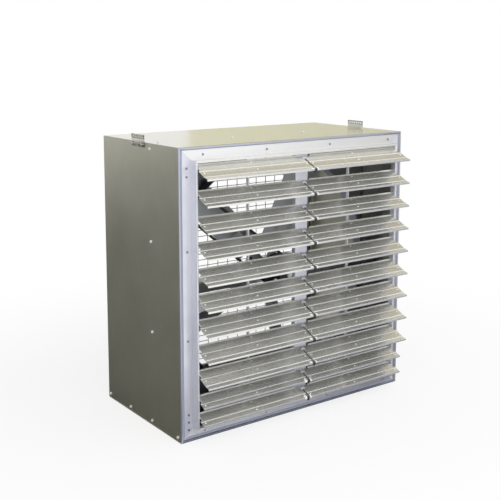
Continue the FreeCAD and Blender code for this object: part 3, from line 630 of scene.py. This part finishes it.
# Nodes that stay as built: look, width and steps of the eased edges, and their names
dressed = (
    ("cabinetSide", 0.0008, 2, "side_panel_left"),
    ("cabinetFarSide", 0.0008, 2, "side_panel_right"),
    ("cabinetTop", 0.0008, 2, "top_panel"),
    ("cabinetBase", 0.0008, 2, "bottom_panel"),
    ("shutterUpright", 0.0005, 2, "shutter_stile_left", "shutter_stile_right", "shutter_mullion"),
    ("shutterLevel", 0.0005, 2, "shutter_rail_top"),
    ("shutterSill", 0.0005, 2, "shutter_rail_bottom"),
    ("tieBar", 0.0004, 2, "tie_bar_left", "tie_bar_right"),
    ("bearing", 0.0007, 3, "center_bearings"),
    ("orificeSheet", 0, 0, "orifice_panel"),
    ("zinc", 0.0008, 2, "strut_front", "strut_rear", "motor_bracket"),
    ("steel", 0.0005, 2, "hanger_bolts", "drive_bolts", "fan_shaft", "motor_shaft"),
)
for look, width, steps, *names in dressed:
    for name in names:
        sheetDress(name, look, width, steps)

# Fasteners of the cabinet and the shutter
panelScrew = {"across": 0.0075, "height": 0.0042, "collar": 0.0058, "brimShare": 0.28, "ease": 0.000375}
frameScrew = {"across": 0.0055, "height": 0.0030, "collar": 0.0042, "brimShare": 0.28, "ease": 0.000275}
fastener = {
    "panelSetback": 0.195, "sideHeights": (0.362, 0.698, 1.034), "lowRow": (0.023, 0.206, 0.370, 0.537),
    "lowRowHeight": 0.019, "topRow": (-0.490, -0.171, 0.171, 0.490), "frameFace": 0.004,
    "frameInset": 0.018, "frameHeights": (0.044, 0.072, 0.099, 0.370, 0.689, 0.951, 0.981),
    "frameRail": (-0.426, -0.150, 0.150, 0.455),
}


def panelScrews(bm):
    spots = [(fastener["panelSetback"], z) for z in fastener["sideHeights"]]
    spots += [(setback, fastener["lowRowHeight"]) for setback in fastener["lowRow"]]
    for hand in (-1, 1):
        for setback, z in spots:
            hexScrew(bm, (hand * cabinetHalf, frontY + setback, z), (hand, 0, 0), panelScrew)
    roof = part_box("top_panel")[1].z
    for x in fastener["topRow"]:
        hexScrew(bm, (x, frontY + fastener["panelSetback"], roof), (0, 0, 1), panelScrew)


def frameScrews(bm):
    low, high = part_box("shutter_rail_bottom")[0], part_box("shutter_rail_top")[1]
    inset = fastener["frameInset"]
    spots = [(x, z) for x in (low.x + inset, high.x - inset) for z in fastener["frameHeights"]]
    spots += [(x, z) for x in fastener["frameRail"] for z in (low.z + inset, high.z - inset)]
    for x, z in spots:
        hexScrew(bm, (x, frontY + fastener["frameFace"], z), (0, -1, 0), frameScrew)


gapShadow = {"thick": 0.0014, "ease": 0.0005, "rim": 0.0082, "gap": 0.0003}


def frameSeal(bm):
    # dark blue strip in the recess between the cabinet's rim and the shutter frame, on the left and along the
    # top: painted shadow of the gap there
    low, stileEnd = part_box("shutter_stile_left")
    high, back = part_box("shutter_rail_top")[1], stileEnd.y
    face, top = back - gapShadow["thick"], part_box("side_panel_left")[1].z - gapShadow["rim"]
    plate(bm, (gapShadow["rim"] - cabinetHalf, face, gapShadow["rim"]), (low.x - gapShadow["gap"], back, top), gapShadow["ease"])
    plate(bm, (low.x, face, high.z + gapShadow["gap"]), (high.x, back, top), gapShadow["ease"])


finishPiece("frameSeal", "cabinet", "gapShadow", [frameSeal])
finishPiece("cabinetScrews", "cabinet", "screw", [panelScrews])
finishPiece("shutterScrews", "cabinet", "rivet", [frameScrews])
print("fasteners: done")

# Hanger plates with a row of round holes
hanger = {"holes": 6, "spacing": 0.014, "radius": 0.0040, "drop": 0.008, "sheet": 0.003, "sides": 16}


def holedPlate(bm, low, high, hand):
    # square cells with a round hole each, filled out to the plate's edges
    x = low.x if hand > 0 else high.x
    middle, row, half = (low.y + high.y) / 2, high.z - hanger["drop"], hanger["spacing"] / 2
    for index in range(hanger["holes"]):
        y = middle + (index - (hanger["holes"] - 1) / 2) * hanger["spacing"]
        turn = Matrix.Translation((x, y, row)) @ Matrix.Rotation(pi / 2, 4, "Y")
        hole, ring = (bmesh.ops.create_circle(bm, segments=hanger["sides"], radius=size, matrix=turn)["verts"]
                      for size in (hanger["radius"], half))
        for vert in ring:
            reach = max(abs(vert.co.y - y), abs(vert.co.z - row))
            vert.co.y = y + (vert.co.y - y) * half / reach
            vert.co.z = row + (vert.co.z - row) * half / reach
        edges = {edge for vert in hole + ring for edge in vert.link_edges}
        bmesh.ops.bridge_loops(bm, edges=list(edges))
    span, below, above = half * hanger["holes"], row - half, row + half
    cells = ((low.y, middle - span, below, above), (middle + span, high.y, below, above),
             (low.y, high.y, low.z, below), (low.y, high.y, above, high.z))
    for y0, y1, z0, z1 in cells:
        bm.faces.new([bm.verts.new((x, y, z)) for y, z in ((y0, z0), (y1, z0), (y1, z1), (y0, z1))])
    bmesh.ops.remove_doubles(bm, verts=bm.verts[:], dist=weldReach)
    bm.normal_update()
    bmesh.ops.reverse_faces(bm, faces=[face for face in bm.faces if face.normal.x * hand < 0])


for hand, side in hands:
    finishPiece("hangerPlate" + side.title(), "cabinet", "hanger", [holedPlate],
                (*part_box("hanger_plate_" + side), hand), ["hanger_plate_" + side], (hanger["sheet"], 1))
print("hangers: done")

# Intake guard of welded round wire
guard = {
    "radius": 0.00145, "sides": 8, "depth": 0.0014142, "levels": 41, "levelPitch": 0.0254, "uprights": 21,
    "uprightPitch": 0.0508,
}


def wireRow(bm, middle, step, count, axis, length):
    # wires side by side about a middle, each centred on it along its own length
    start = middle - step * (count - 1) / 2 - Vector(axis) * length / 2
    for index in range(count):
        drum(bm, start + step * index, axis, guard["radius"], length, guard["sides"])


def guardWires(bm):
    low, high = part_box("intake_guard")
    middle, size = (low + high) / 2, high - low
    level = Vector((middle.x, low.y + guard["depth"], middle.z))
    upright = Vector((middle.x, high.y - guard["depth"], middle.z))
    wireRow(bm, level, Vector((0, 0, guard["levelPitch"])), guard["levels"], (1, 0, 0), size.x)
    wireRow(bm, upright, Vector((guard["uprightPitch"], 0, 0)), guard["uprights"], (0, 0, 1), size.z)


finishPiece("intakeGuardWires", "cabinet", "wire", [guardWires], replaced=["intake_guard"])
print("guard: done")

# Bell mouth and throat
throat = {"radius": 0.463, "sheet": 0.002, "bell": 0.025, "steps": 96, "arc": 7}
throatLow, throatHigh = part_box("throat_ring")
shaftZ = (throatLow.z + throatHigh.z) / 2


def throatRing(bm):
    radius, sheet, bell = throat["radius"], throat["sheet"], throat["bell"]
    centre, tangent = radius + sheet + bell, throatHigh.y - bell - sheet
    airSide, panelSide = [], []
    for step in range(throat["arc"] + 1):
        angle = pi / 2 * step / throat["arc"]
        for row, size in ((airSide, bell + sheet), (panelSide, bell)):
            row.append((centre - size * cos(angle), tangent + size * sin(angle)))
    lip = [(radius + sheet, throatLow.y), (radius, throatLow.y)]
    spun(bm, airSide + panelSide[::-1] + lip, (0, shaftZ), throat["steps"])


finishPiece("throatRing", "cabinet", "orificeSheet", [throatRing], replaced=["throat_ring"])
print("throat: done")

# Propeller
fan = {
    "blades": 5, "rest": radians(136), "root": 0.105, "tip": 0.457, "chord": 0.128, "flat": 0.046,
    "camber": 0.009, "bendReach": 0.021, "bendSteps": 6, "pitch": radians(34), "sheet": 0.0025,
    "corner": 0.020, "cornerSteps": 5, "armStart": 0.037, "armEnd": 0.215, "armWidth": 0.040,
    "armRootShare": 0.8, "armSheet": 0.004, "armDrop": 0.0028, "armEase": 0.0010,
    "rivets": (0.125, 0.160, 0.197), "rivetAside": 0.011, "rivet": (0.0050, 0.0026),
}
hub = {
    "half": 0.022, "outline": ((0.0126, 0), (0.0300, 0), (0.0310, 0.006), (0.0418, 0.008)),
    "ease": 0.0008, "steps": 48, "screwAngles": (0.4, 2.2), "screwOut": 0.029, "screwSetback": 0.003,
    "screw": 0.004, "screwEase": 0.0004,
}
fanMiddle = pivots["fan_rotor"].y


def fanSpot(radial, along, lift):
    slope = fan["pitch"]
    tangent = along * cos(slope) - lift * sin(slope)
    axial = along * sin(slope) + lift * cos(slope)
    return Vector((radial, fanMiddle + axial, tangent))


def fanTurn(index):
    angle = fan["rest"] + 2 * pi * index / fan["blades"]
    return Matrix.Translation((0, 0, shaftZ)) @ Matrix.Rotation(-angle, 4, "Y")


fanLift = fanSpot(0, 0, 1) - fanSpot(0, 0, 0)


def propellerBlade(bm, index):
    half, flat = fan["chord"] / 2, fan["flat"] / 2
    line = ((-half, 0), (-flat, fan["camber"]), (flat, fan["camber"]), (half, 0))
    verts = [bm.verts.new(fanSpot(fan["root"], along, lift)) for along, lift in line]
    edges = [bm.edges.new(pair) for pair in zip(verts, verts[1:])]
    tip = newVerts(bmesh.ops.extrude_edge_only(bm, edges=edges))
    bmesh.ops.translate(bm, verts=tip, vec=(fan["tip"] - fan["root"], 0, 0))
    bends = [edge for edge in bm.edges if len(edge.link_faces) == 2]
    easeEdges(bm, bends, fan["bendReach"], fan["bendSteps"])
    ends = [edge for edge in bm.edges if len(edge.link_faces) == 1 and not lengthwise(edge)]
    bmesh.ops.subdivide_edges(bm, edges=ends, cuts=1)
    for vert in bm.verts:
        if vert.co.x > fan["tip"] - closeBy:
            vert.co.x = sqrt(fan["tip"] ** 2 - vert.co.z ** 2)
    corners = [vert for vert in bm.verts if len(vert.link_edges) == 2 and len(vert.link_faces) == 1]
    wide = sorted(corners, key=lambda vert: abs(vert.co.z))[-4:]
    bmesh.ops.bevel(bm, geom=wide, offset=fan["corner"], offset_type="OFFSET", affect="VERTICES",
                    segments=fan["cornerSteps"], profile=0.5, material=-1, clamp_overlap=True)
    bm.normal_update()
    if sum(face.normal.dot(fanLift) for face in bm.faces) < 0:
        bmesh.ops.reverse_faces(bm, faces=bm.faces[:])
    bmesh.ops.transform(bm, matrix=fanTurn(index), verts=bm.verts[:])


def spiderArm(bm):
    # a flat arm under the blade, with rivet heads above and below
    half, top = fan["armWidth"] / 2, fan["camber"] - fan["armDrop"]
    root, start, end = half * fan["armRootShare"], fan["armStart"], fan["armEnd"]
    corners = ((start, -root), (end, -half), (end, half), (start, root))
    spots = [fanSpot(radial, along, top) for radial, along in corners]
    pulled(bm, spots, -fanLift * fan["armSheet"], fan["armEase"])
    for radial in fan["rivets"]:
        for along in (-fan["rivetAside"], fan["rivetAside"]):
            dome(bm, fanSpot(radial, along, top - fan["armSheet"]), -fanLift, *fan["rivet"])
            dome(bm, fanSpot(radial, along, fan["camber"]), fanLift, *fan["rivet"])


def spider(bm):
    for index in range(fan["blades"]):
        old = set(bm.verts)
        spiderArm(bm)
        fresh = [vert for vert in bm.verts if vert not in old]
        bmesh.ops.transform(bm, matrix=fanTurn(index), verts=fresh)
    back = fanMiddle + hub["half"]
    outline = mirrored(hub["outline"], fanMiddle - hub["half"], back)
    spun(bm, outline, (0, shaftZ), hub["steps"], hub["ease"])
    for angle in hub["screwAngles"]:
        at = Vector((0, back - hub["screwSetback"], shaftZ)) + outward(angle) * hub["screwOut"]
        drum(bm, at, outward(angle), hub["screw"], hub["screw"], hexSides, hub["screwEase"])


for index in range(fan["blades"]):
    number = str(index + 1)
    finishPiece("propellerBlade" + number, "fan_rotor", "propellerSheet", [propellerBlade],
                (index,), ["fan_blade_" + number], (fan["sheet"], -1))
finishPiece("propellerSpider", "fan_rotor", "zinc", [spider],
            replaced=["propeller_spider"])
print("propeller: done")

# Belt drive
drive = {
    "beltTop": 0.0065, "beltBottom": 0.0040, "above": 0.003, "below": 0.005, "fanPitch": 0.065,
    "motorPitch": 0.050, "clear": 0.0004, "floor": 0.002, "cheek": 0.0035, "hub": 0.024, "hubHalf": 0.016,
    "web": 0.0038, "rimWall": 0.006, "dish": 0.012, "fanBore": 0.0126, "motorBore": 0.0082,
    "ease": 0.0006, "pulleySteps": 64, "beltSteps": 30, "screwAxis": Vector((0.6, 0, 0.8)),
    "screwOut": 0.0225, "screwSetback": 0.011, "screw": 0.0030, "screwEase": 0.0003,
}
beltY = pivots["motor_rotor"].y
motorAxis = (pivots["motor_rotor"].x, pivots["motor_rotor"].z)


def pulley(bm, centre, pitch, bore):
    step = (drive["beltTop"] - drive["beltBottom"]) / (drive["above"] + drive["below"])
    floor = pitch - drive["below"] - drive["floor"]
    rim = pitch + drive["above"] + drive["clear"]
    floorHalf = drive["beltBottom"] - step * drive["floor"] + drive["clear"]
    mouthHalf = drive["beltTop"] + step * drive["clear"] + drive["clear"]
    face, end, web = mouthHalf + drive["cheek"], drive["hubHalf"], drive["web"]
    under = floor - drive["rimWall"]
    boss = min(drive["hub"], under - drive["dish"])
    half = [(bore, -end), (boss, -end), (boss, -web), (under, -web), (under, -face), (rim, -face),
            (rim, -mouthHalf), (floor, -floorHalf)]
    spun(bm, mirrored(half, beltY, beltY), centre, drive["pulleySteps"], drive["ease"])
    axis = drive["screwAxis"]
    at = Vector((centre[0], beltY - drive["screwSetback"], centre[1])) + axis * drive["screwOut"]
    drum(bm, at, axis, drive["screw"], drive["screw"], hexSides, drive["screwEase"])


def beltLoop(bm):
    reach = hypot(motorAxis[0], motorAxis[1] - shaftZ)
    heading = atan2(motorAxis[1] - shaftZ, motorAxis[0])
    lean = pi / 2 - asin((drive["fanPitch"] - drive["motorPitch"]) / reach)
    section = ((-drive["below"], -drive["beltBottom"]), (drive["above"], -drive["beltTop"]),
               (drive["above"], drive["beltTop"]), (-drive["below"], drive["beltBottom"]))

    def ringAt(centre, pitch, angle):
        middle = Vector((centre[0], beltY, centre[1]))
        return [middle + outward(angle) * (pitch + height) + Vector((0, y, 0)) for height, y in section]

    def wrap(verts, edges, centre, angle):
        # the section carried around one pulley
        turned = bmesh.ops.spin(bm, geom=verts + edges, cent=(centre[0], 0, centre[1]), axis=(0, -1, 0),
                                angle=angle, steps=drive["beltSteps"])["geom_last"]
        return [item for item in turned if isinstance(item, bmesh.types.BMEdge)]

    shaft = (0, shaftZ)
    verts, edges = closedLoop(bm, ringAt(shaft, drive["fanPitch"], heading + lean))
    fanEnd = wrap(verts, edges, shaft, 2 * pi - 2 * lean)
    leave = ringAt(shaft, drive["fanPitch"], heading - lean)[0]
    arrive = ringAt(motorAxis, drive["motorPitch"], heading - lean)[0]
    grown = bmesh.ops.extrude_edge_only(bm, edges=fanEnd)
    fresh = newVerts(grown)
    bmesh.ops.translate(bm, verts=fresh, vec=arrive - leave)
    motorEnd = wrap(fresh, edgesAmong(grown, fresh), motorAxis, 2 * lean)
    bmesh.ops.bridge_loops(bm, edges=motorEnd + edges)
    bmesh.ops.recalc_face_normals(bm, faces=bm.faces[:])


finishPiece("fanPulley", "fan_rotor", "iron", [pulley],
            ((0, shaftZ), drive["fanPitch"], drive["fanBore"]), ["fan_pulley"])
finishPiece("motorPulley", "motor_rotor", "iron", [pulley],
            (motorAxis, drive["motorPitch"], drive["motorBore"]), ["motor_pulley"])
finishPiece("driveBelt", "cabinet", "rubber", [beltLoop], replaced=["v_belt"])
print("belt drive: done")

# Pillow blocks
pillow = {
    "baseHeight": 0.014, "ease": 0.003, "neckHalf": 0.026, "neckInset": 0.003, "neckFoot": 0.010,
    "neckTop": 0.017,
    "outline": ((0.01255, 0), (0.0190, 0), (0.0200, 0.003), (0.0275, 0.004), (0.0306, 0.008)),
    "housingEase": 0.0006, "steps": 40,
}


def pillowBlock(bm, low, high):
    half, inset, ease = pillow["neckHalf"], pillow["neckInset"], pillow["ease"]
    plate(bm, low, (high.x, high.y, low.z + pillow["baseHeight"]), ease, roundSteps)
    plate(bm, (-half, low.y + inset, low.z + pillow["neckFoot"]),
          (half, high.y - inset, shaftZ - pillow["neckTop"]), ease, roundSteps)
    outline = mirrored(pillow["outline"], low.y, high.y)
    spun(bm, outline, (0, shaftZ), pillow["steps"], pillow["housingEase"])


for end in ("front", "rear"):
    name = "bearing_" + end
    finishPiece("pillowBlock" + end.title(), "cabinet", "iron", [pillowBlock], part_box(name),
                [name])
print("bearings: done")

# Motor with its foot, terminal box and gland
motor = {
    "radius": 0.0795, "bore": 0.045, "shoulder": 0.001, "shoulderRun": (0.004, 0.005), "steps": 72,
    "footSheet": 0.004, "footHeight": 0.146, "footHalf": 0.055, "footEase": 0.0012, "saddle": 0.096,
    "saddleHalf": 0.050, "saddleSheet": 0.004, "saddleEase": 0.0008, "saddleOverlap": (0.003, 0.004),
}
shield = {
    "depth": 0.034, "bore": 0.0084, "taper": 0.016, "skirt": 0.011, "corner": 0.004,
    "groove": (0.030, 0.027, 0.020, 0.018), "grooveDepth": 0.003, "vents": 24, "ventMiddle": 0.0205,
    "ventBand": 0.003, "ventLeast": 0.066, "ventFrame": 0.0014, "ventDepth": 0.006, "boltCircle": 0.052,
    "bolt": 0.0050, "boltHeight": 0.0008, "boltEase": 0.0002,
}


def motorShell(bm):
    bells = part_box("motor_end_bells")
    front, back = bells[0].y + shield["depth"], bells[1].y - shield["depth"]
    radius, edge = motor["radius"], motor["radius"] - motor["shoulder"]
    start, end = motor["shoulderRun"]
    half = [(motor["bore"], 0), (edge, 0), (edge, start), (radius, end)]
    spun(bm, mirrored(half, front, back), motorAxis, motor["steps"])
    middle = (front + back) / 2
    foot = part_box("motor_shell")[0].x
    length, height = motor["footHalf"], motor["footHeight"] / 2
    plate(bm, (foot, middle - length, motorAxis[1] - height),
          (foot + motor["footSheet"], middle + length, motorAxis[1] + height), motor["footEase"])
    into, past = motor["saddleOverlap"]
    reach = motorAxis[0] - sqrt(radius ** 2 - (motor["saddle"] / 2) ** 2) + past
    for side in (-1, 1):
        outside = motorAxis[1] + side * motor["saddle"] / 2
        inside = outside - side * motor["saddleSheet"]
        plate(bm, (foot + into, middle - motor["saddleHalf"], min(outside, inside)),
              (reach, middle + motor["saddleHalf"], max(outside, inside)), motor["saddleEase"])


def slantFaces(faces, y):
    # the faces of the slanted wall in order around the shaft
    found = {}
    for face in faces:
        spot = face.calc_center_median()
        out = Vector((spot.x - motorAxis[0], spot.z - motorAxis[1]))
        if abs(spot.y - y) < shield["ventBand"] and out.length > shield["ventLeast"]:
            found[atan2(out.y, out.x)] = face
    return [found[angle] for angle in sorted(found)]


def endShield(bm, wide, narrow):
    sign = 1 if narrow > wide else -1
    radius, tip = motor["radius"], motor["radius"] - shield["taper"]
    bore, corner = shield["bore"], shield["corner"]
    rim, step, land, boss = shield["groove"]
    floor = narrow - sign * shield["grooveDepth"]
    outline = [(bore, wide), (radius, wide), (radius, wide + sign * shield["skirt"]),
               (tip + corner, narrow - sign * corner), (tip, narrow), (rim, narrow), (step, floor),
               (land, floor), (boss, narrow), (bore, narrow)]
    faces = spun(bm, outline, motorAxis, shield["vents"] * 2)
    vents = slantFaces(faces, wide + sign * shield["ventMiddle"])[1::2]
    bmesh.ops.inset_individual(bm, faces=vents, thickness=shield["ventFrame"], depth=-shield["ventDepth"])
    height = shield["boltHeight"]
    for quarter in range(4):
        out = outward(pi / 4 + pi / 2 * quarter) * shield["boltCircle"]
        at = Vector((motorAxis[0], narrow - sign * height, motorAxis[1])) + out
        drum(bm, at, (0, sign, 0), shield["bolt"], height, hexSides, shield["boltEase"])


def endShields(bm):
    low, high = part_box("motor_end_bells")
    endShield(bm, low.y + shield["depth"], low.y)
    endShield(bm, high.y - shield["depth"], high.y)


finishPiece("motorShell", "cabinet", "enamel", [motorShell], replaced=["motor_shell"])
finishPiece("motorEndShields", "cabinet", "shield", [endShields],
            replaced=["motor_end_bells"])

terminal = {
    "sideInset": 0.001, "foot": 0.004, "lidLow": 0.0055, "lidHigh": 0.0016, "bodyTop": 0.005,
    "bodyEase": 0.003, "lidEase": 0.0012, "screwInset": 0.008, "screwSink": 0.0017,
    "screw": (0.0034, 0.0016), "gland": 0.022, "glandDrop": 0.018,
    "glandOutline": ((0.0055, 0), (0.0105, 0), (0.0105, 0.006), (0.0095, 0.007), (0.0095, 0.018),
                     (0.0082, 0.022), (0.0055, 0.022)),
    "glandSteps": 24,
}


def terminalBox(bm):
    low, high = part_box("conduit_box")
    end = high.y - terminal["gland"]
    side, inset = terminal["sideInset"], terminal["screwInset"]
    plate(bm, (low.x + side, low.y, low.z + terminal["foot"]),
          (high.x - side, end, high.z - terminal["bodyTop"]), terminal["bodyEase"], roundSteps)
    plate(bm, (low.x, low.y, high.z - terminal["lidLow"]), (high.x, end, high.z - terminal["lidHigh"]),
          terminal["lidEase"])
    for x in (low.x + inset, high.x - inset):
        for y in (low.y + inset, end - inset):
            dome(bm, (x, y, high.z - terminal["screwSink"]), (0, 0, 1), *terminal["screw"])
    outline = [(radius, end + depth) for radius, depth in terminal["glandOutline"]]
    spun(bm, outline, (motorAxis[0], high.z - terminal["glandDrop"]), terminal["glandSteps"])


finishPiece("terminalBox", "cabinet", "enamel", [terminalBox], replaced=["conduit_box"])
print("motor: done")

# Floor, light and camera
studio = {
    "floor": (0.78, 0.78, 0.78), "floorHalf": 40, "floorDrop": 0.0005, "whiteReach": (0.5, 2.2),
    "whiteNear": 0.80, "ambient": 0.62, "aim": Vector((0, 0, 0.5)),
}
# place, size and watts
lamps = {
    "keyLamp": ((0.6, -2.6, 3.4), 4.2, 112.0),
    "fillLamp": ((-2.2, -2.6, 1.5), 1.6, 26.0),
}
# colour and corners
cards = {
    "leftCard": ((0.130, 0.130, 0.119),
                 ((-0.529, -1.2, 0.001), (-0.529, 3.4, 0.001), (-2.8, 3.4, 0.84), (-2.8, -1.2, 0.84))),
    "rightCard": ((0.30, 0.30, 0.28),
                  ((0.529, -0.28, 0.001), (2.8, -0.28, 0.84), (2.8, 3.4, 0.84), (0.529, 3.4, 0.001))),
    "overheadCard": ((0.56, 0.51, 0.34),
                     ((-3.4, -0.75, 2.5), (3.4, -0.75, 2.5), (3.4, 3.0, 2.5), (-3.4, 3.0, 2.5))),
    "frontCard": ((0.20, 0.215, 0.28),
                  ((-0.9, -0.30, 0.001), (9.0, -0.30, 0.001), (9.0, -9.0, 0.001), (6.2, -9.0, 0.001),
                   (1.35, -1.75, 0.001), (0.1, -0.75, 0.001), (-0.9, -0.75, 0.001))),
    "backCard": ((0.91, 0.89, 0.68),
                 ((1.5, 2.9, 0.5), (5.5, 2.9, 0.5), (5.5, 2.9, 2.5), (1.5, 2.9, 2.5))),
    "closedCard": ((0.70, 0.70, 0.68),
                   ((-8.0, -6.5, 1.6), (-8.0, -6.5, 5.6), (12.0, -6.5, 5.6), (12.0, -6.5, 1.6))),
}
view = {
    "place": Vector((-2.12500, -2.90102, 1.39029)), "azimuth": -35.8617, "elevation": 7.9603,
    "lens": 65.7105, "shiftY": -0.15,
}


def whiteForLens(tree):
    # 1 for rays that come from the lens, straight, reflected or let through
    rays = tree.nodes.new("ShaderNodeLightPath").outputs
    seen = Wire(tree, rays["Is Camera Ray"]) + Wire(tree, rays["Is Glossy Ray"])
    seen = seen + Wire(tree, rays["Is Transmission Ray"])
    return seen.sum("MINIMUM", seen, 1.0)


def studioFloor():
    bm = bmesh.new()
    bmesh.ops.create_grid(bm, x_segments=1, y_segments=1, size=studio["floorHalf"])
    f = Finish("paleFloor")
    f.set(Base_Color=(*studio["floor"], 1), Roughness=0.9)
    shine = f.node("ShaderNodeEmission", {}, {})
    paint = Wire(f.tree, f.shader.outputs[0])
    reach = f.node("ShaderNodeVectorMath", {"operation": "LENGTH"}, {0: f.place()}, 1)
    near, full = studio["whiteReach"]
    far = f.node("ShaderNodeMapRange", {"interpolation_type": "SMOOTHSTEP"},
                 {"Value": reach, "From Min": near, "From Max": full, "To Min": studio["whiteNear"]})
    mixed = f.node("ShaderNodeMixShader", {}, {0: whiteForLens(f.tree) * far, 1: paint, 2: shine})
    f.tree.links.new(mixed.socket, f.tree.nodes["Material Output"].inputs["Surface"])
    floor = placed(bm, "floor", f.material)
    floor.location.z = -studio["floorDrop"]


def studioWorld():
    world = bpy.data.worlds.new("studio")
    bpy.context.scene.world = world
    world.use_nodes = True
    tree = world.node_tree
    sky = tree.nodes["Background"].inputs
    level = whiteForLens(tree) * (1 - studio["ambient"]) + studio["ambient"]
    plug(tree, level, sky["Strength"])
    plug(tree, (1, 1, 1, 1), sky["Color"])


def softLamp(name, place, size, watts):
    data = bpy.data.lights.new(name, "AREA")
    data.size = size
    data.energy = watts
    lamp = bpy.data.objects.new(name, data)
    lamp.location = place
    lamp.rotation_euler = (studio["aim"] - Vector(place)).to_track_quat("-Z", "Y").to_euler()
    lamp.visible_glossy = False  # bright sheet would show the lamp as a burnt patch
    bpy.context.scene.collection.objects.link(lamp)


def shadeCard(name, colour, corners):
    # a card beside the set, seen only in reflections
    bm = bmesh.new()
    bm.faces.new([bm.verts.new(corner) for corner in corners])
    card = placed(bm, name, Finish(name).set(Base_Color=(*colour, 1), Roughness=1.0))
    card.visible_camera = False
    card.visible_shadow = False
    card.visible_diffuse = False


def photoCamera():
    data = bpy.data.cameras.new("camera")
    data.lens = view["lens"]
    data.shift_y = view["shiftY"]
    camera = bpy.data.objects.new("camera", data)
    az, el = radians(view["azimuth"]), radians(view["elevation"])
    back = Vector((sin(az) * cos(el), -cos(az) * cos(el), sin(el)))
    camera.matrix_world = facing(view["place"], back)
    bpy.context.scene.collection.objects.link(camera)
    bpy.context.scene.camera = camera


studioFloor()
studioWorld()
for name, setting in lamps.items():
    softLamp(name, *setting)
for name, setting in cards.items():
    shadeCard(name, *setting)
photoCamera()
bpy.context.scene.view_settings.view_transform = "Standard"
print("studio: done")
